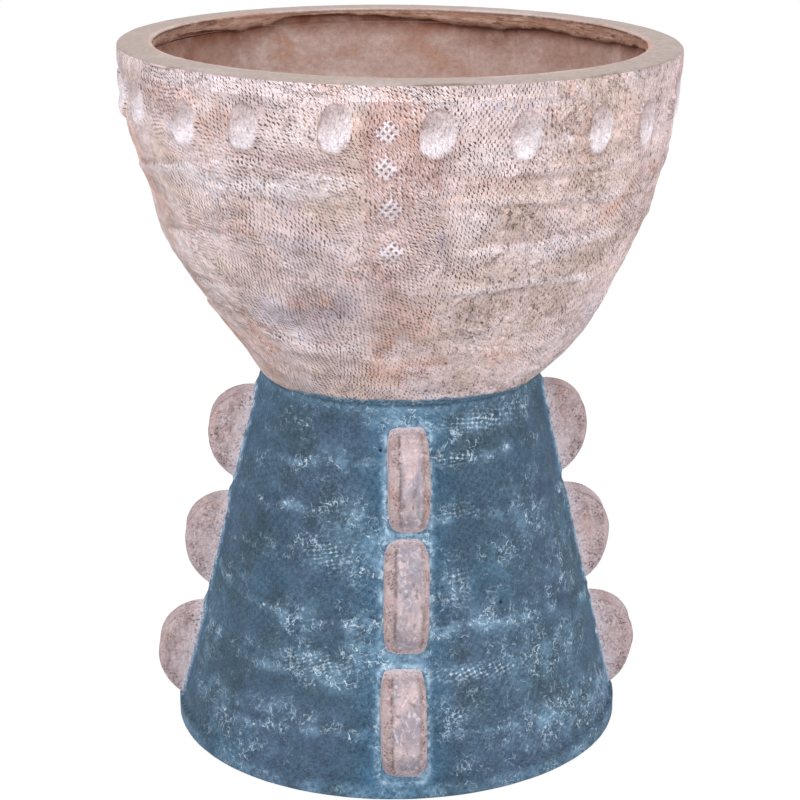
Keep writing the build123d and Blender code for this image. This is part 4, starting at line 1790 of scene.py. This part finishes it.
        keep = outside * smooth(height, self.height, self.height - 5 * MM)
        keep *= smooth(height, self.band_height - 1 * MM, self.band_height + 6 * MM)
        out = points[:, :2] / reach[:, None]
        spread = self.foot_lean * bump(apart(azimuth, self.foot_lean_azimuth), 45) - 0.4 * MM
        points[:, :2] += out * (relief * keep + spread * outside * smooth(height, *self.lean_reach))[:, None]
        points[:, 2] = np.maximum(points[:, 2], 0)
        points[height > self.height - 1.2 * MM, 2] = self.height
        write_points(mesh, self.slump.settle(points))
        cloth = painted(self.cloths, azimuth, height)
        write_marks(mesh, {"cloth": cloth, "line": line_mark, "halo": halo, "near": near}, outside)
        write_mark(mesh, "wear", np.clip(wear, 0, 1.2) * outside)
        write_marks(mesh, {"dirt": dirt}, outside)

    def build(self, fins: Sequence[FinPlace]) -> Object:
        """Make, shape and dress the pedestal round its fins."""
        piece = self.turn("pedestal_wall", self.section(), Finish.SLIP)
        self.work(piece.data, fins)
        commit(piece, Finish.SLIP.value, "pedestal")
        return piece


class Column(Enum):
    """The four columns of fins by the azimuth they face, in degrees from +X."""

    FRONT = -90.0
    RIGHT = 0.0
    BACK = 90.0
    LEFT = 180.0


@dataclass(frozen=True)
class FinHand:
    """How one fin differs from the rule: millimetres up the wall, longer and wider, and its sag."""

    up: float = 0.0
    longer: float = 0.0
    wider: float = 0.0
    sag: float = 0.0
    turn: float = 0.0  # degrees round the pedestal
    top_round: float = 0.1  # share of its width lost at the upper end
    foot_round: float = 0.1


@dataclass
class FinColumns:
    """Twelve coin-shaped fins, three in each of four columns."""

    glazes: Glazes
    recipe: Recipe
    pedestal: Pedestal
    reach: float = 25.6 * MM
    thickness: float = 30 * MM
    bevel: float = 5 * MM
    front_bevels: tuple[float, float] = (4.2 * MM, 7.2 * MM)  # right and left, seen from outside
    gap: float = 8.5 * MM
    foot_lap: float = 3 * MM
    neck_gap: float = 9.5 * MM
    root: float = 5 * MM
    columns: int = 96
    wobble: float = 2.0 * MM
    taper: float = 0.16
    tiers: tuple[str, ...] = ("bottom", "middle", "top")
    hands: tuple[tuple[Column, tuple[FinHand, ...]], ...] = (
        (
            Column.FRONT,
            (
                FinHand(2.2, -0.4, 0.6, 0.0, -0.8, 0.12, 0.45),
                FinHand(4.4, 2.4, 0.0, 0.0, 0.0, 0.55, 0.2),
                FinHand(-2.0, -2.0, -2.6, 0.0, 0.9, 0.1, 0.35),
            ),
        ),
        (
            Column.RIGHT,
            (FinHand(3.2, -3.6, 0, -0.16), FinHand(3.6, -2.8, 0, -0.14), FinHand(2.6, -4.4, 0, -0.16)),
        ),
        (
            Column.BACK,
            (FinHand(0.5, -0.8, 0, 0.05), FinHand(-0.8, 0, 0, -0.06), FinHand(0, -1.2, 0, -0.1)),
        ),
        (
            Column.LEFT,
            (FinHand(-2.6, -3.8, 0, -0.06), FinHand(1.2, -4.2, 0, -0.12), FinHand(-0.4, -4.8, 0, -0.12)),
        ),
    )

    def places(self) -> list[FinPlace]:
        """Where each fin sits, with the small slips of a hand-built row."""
        length = self.pedestal.side.length
        pitch = (length + self.foot_lap - self.neck_gap + self.gap) / len(self.tiers)
        half = (pitch - self.gap) / 2
        random = np.random.default_rng(12)
        places = []
        for column, row in self.hands:
            for tier, (name, hand) in enumerate(zip(self.tiers, row)):
                slips = random.normal(size=4)
                distance = half - self.foot_lap + tier * pitch + hand.up * MM
                reach, height, tilt = self.pedestal.seat_at(distance)
                swing = 0.0 if column is Column.FRONT else 0.4 * slips[0]
                places.append(
                    FinPlace(
                        node=f"fin_{column.name.lower()}_{name}",
                        azimuth=column.value + hand.turn + swing,
                        reach=reach,
                        height=height,
                        tilt=tilt,
                        half_length=half + hand.longer * MM,
                        half_width=(self.thickness + hand.wider * MM) / 2,
                        hand=hand,
                        cant=0.012 * slips[3],
                        seed=7.0 + len(places),
                    )
                )
        return places

    def flank(self, bevel: float, half: float) -> list[tuple[float, float, float]]:
        """Half a section, from the middle of a face to where the bevel meets the edge band."""
        face = [(share, bevel * 0.9, half) for share in (0.0, 0.2, 0.4, 0.58, 0.74, 0.88, 1.0)]
        drops = ((0.62, 0.12), (0.3, 0.42), (0.1, 0.76), (0.0, 1.0))
        return face + [(1.0, bevel * 0.9 * inset, half - bevel * across) for inset, across in drops]

    def section(self, place: FinPlace) -> Object:
        """The coin's section, from the middle of one face over the edge to the other's."""
        half = place.half_width
        front = place.node.startswith("fin_front")
        right, left = self.front_bevels if front else (self.bevel, self.bevel)
        rows = self.flank(right, half)
        band = np.linspace(half - right - 2 * MM, left + 2 * MM - half, 9)
        rows += [(1.0, 0.25 * MM, across) for across in band]
        rows += [(share, inset, -across) for share, inset, across in reversed(self.flank(left, half))]
        table = np.array(rows)
        across = table[:, 2]
        inner = smooth(across, half - right + 0.6 * MM, half - right - 1.6 * MM)
        inner *= smooth(across, left - half - 0.6 * MM, left - half + 1.6 * MM)
        edges = 0.45 * bump(across - (half - right), 1.2 * MM) + 0.8 * bump(across + (half - left), 1.2 * MM)
        shares, insets = table[:, 0], table[:, 1]
        marks = {
            "share": shares,
            "inset": insets,
            "across": across,
            "band": inner * (1.0 if front else 0.25),
            "line": edges * (shares > 0.9),
            "face": smooth(shares, 1.0, 0.88),
        }
        return mesh_object("fin_section", np.stack([insets, across, shares], 1), [], marks)

    def build(self, places: Sequence[FinPlace]) -> list[Object]:
        """Make and dress every fin at its place.

        Args:
            places: where the fins sit.

        Returns:
            The finished fins.
        """
        fins = []
        for place in places:
            section = self.section(place)
            inputs = {
                "Columns": self.columns,
                "Rows": len(section.data.vertices),
                "Radius": (place.half_length**2 + self.reach**2) / (2 * self.reach),
                "Reach": self.reach,
                "Root": self.root,
                "Sag": place.hand.sag,
                "Seat Reach": place.reach,
                "Seat Height": place.height,
                "Tilt": place.tilt,
                "Azimuth": math.radians(place.azimuth),
                "Cant": place.cant,
                "Half Length": place.half_length,
                "Taper": self.taper,
                "Top Round": place.hand.top_round,
                "Foot Round": place.hand.foot_round,
                "Wobble": self.wobble,
                "Seed": place.seed,
                "Finish": self.glazes[Finish.FIN],
            }
            piece = grow(section, place.node.replace("fin", "coin"), [(self.recipe, inputs)])
            commit(piece, Finish.FIN.value, place.node)
            fins.append(piece)
        return fins


# ---------------------------------------------------------------- studio


@dataclass(frozen=True)
class Lamp:
    """A square soft box: where it hangs, its side in metres and its power in watts."""

    name: str
    place: tuple[float, float, float]
    size: float
    power: float


@dataclass
class Studio:
    """Pale floor, soft lamps, white surroundings and the camera."""

    lens: float = 100.43
    camera_distance: float = 1.5057
    camera_height: float = 0.6930
    camera_azimuth: float = -2.5
    camera_pitch: float = 17.087
    camera_roll: float = 0.30
    camera_aim: float = -0.043
    sky: float = 0.72
    floor_size: float = 8.0
    floor_grey: float = 0.72
    floor_glow: float = 1.06
    glow_share: float = 0.88  # how much of what the camera sees of the floor is its glow
    lamp_aim: float = 0.26  # the height that the lamps face
    lamps: tuple[Lamp, ...] = (
        Lamp("key", (-1.3, -1.5, 1.9), 1.6, 32.0),
        Lamp("fill", (1.7, -1.3, 1.0), 1.6, 17.0),
        Lamp("back", (0.4, 1.6, 1.7), 1.4, 12.0),
    )

    def lay_floor(self) -> None:
        """A pale floor that keeps the planter's shadow and ends in white."""
        half = self.floor_size / 2
        mesh = bpy.data.meshes.new("floor")
        corners = [(-half, -half, 0.0), (half, -half, 0.0), (half, half, 0.0), (-half, half, 0.0)]
        mesh.from_pydata(corners, [], [(0, 1, 2, 3)])
        floor = put_in_scene("floor", mesh)
        dye = Dye("floor_white")
        grey = (self.floor_grey,) * 3
        white = (1.0, 1.0, 1.0)
        share = dye.seen() * self.glow_share
        board = dye.signal("ShaderNodeBsdfDiffuse", {"Color": grey})
        glow = dye.signal("ShaderNodeEmission", {"Color": white, "Strength": self.floor_glow})
        mixed = dye.signal("ShaderNodeMixShader", {0: share, 1: board, 2: glow})
        dye.node("ShaderNodeOutputMaterial", {"Surface": mixed})
        mesh.materials.append(dye.material)

    def paint_surroundings(self) -> None:
        """White where the camera looks past the floor, and an even soft sky as light."""
        world = bpy.data.worlds.new("surroundings")
        world.use_nodes = True
        world.node_tree.nodes.clear()
        wiring = Wiring(world.node_tree)
        strength = wiring.most(wiring.seen(), self.sky)
        sky = wiring.signal("ShaderNodeBackground", {"Color": (1.0, 1.0, 1.0), "Strength": strength})
        wiring.node("ShaderNodeOutputWorld", {"Surface": sky})
        bpy.context.scene.world = world

    def hang(self, lamp: Lamp) -> None:
        """Hang a soft box that faces the planter's middle."""
        light = bpy.data.lights.new(lamp.name, "AREA")
        light.size, light.energy = lamp.size, lamp.power
        hung = put_in_scene(lamp.name, light)
        arm = np.array(lamp.place) - np.array([0.0, 0.0, self.lamp_aim])
        pan = math.atan2(arm[0], -arm[1])
        tip = math.atan2(math.hypot(arm[0], arm[1]), arm[2])
        hung.location = lamp.place
        hung.rotation_euler = (tip, 0.0, pan)

    def set_camera(self) -> None:
        """Stand the camera in front, a little above the rim, on a long lens."""
        azimuth = math.radians(self.camera_azimuth)
        camera = bpy.data.cameras.new("camera")
        camera.lens, camera.sensor_width = self.lens, 36.0
        stood = put_in_scene("camera", camera)
        stood.location = (
            self.camera_distance * math.sin(azimuth),
            -self.camera_distance * math.cos(azimuth),
            self.camera_height,
        )
        pan = azimuth + math.radians(self.camera_aim)
        stood.rotation_euler = (math.radians(90 - self.camera_pitch), 0.0, pan)
        stood.rotation_euler.rotate_axis("Z", math.radians(self.camera_roll))
        bpy.context.scene.camera = stood

    def build(self) -> None:
        """Set up the whole studio."""
        bpy.context.scene.view_settings.view_transform = "Standard"
        self.lay_floor()
        self.paint_surroundings()
        for lamp in self.lamps:
            self.hang(lamp)
        self.set_camera()


def main() -> None:
    """Build every piece of the planter in order, then the studio round it."""
    glazes = mix_glazes()
    wall_recipe = turned_wall_recipe()
    pedestal = Pedestal(glazes, wall_recipe)
    fin_columns = FinColumns(glazes, coin_fin_recipe(), pedestal)
    places = fin_columns.places()
    pedestal.build(places)
    fin_columns.build(places)
    Bowl(glazes, wall_recipe, press_recipe=pressed_mark_recipe()).build()
    Rim(glazes, wall_recipe).build()
    Studio().build()
    bpy.context.view_layer.update()


if __name__ == "__main__":
    main()
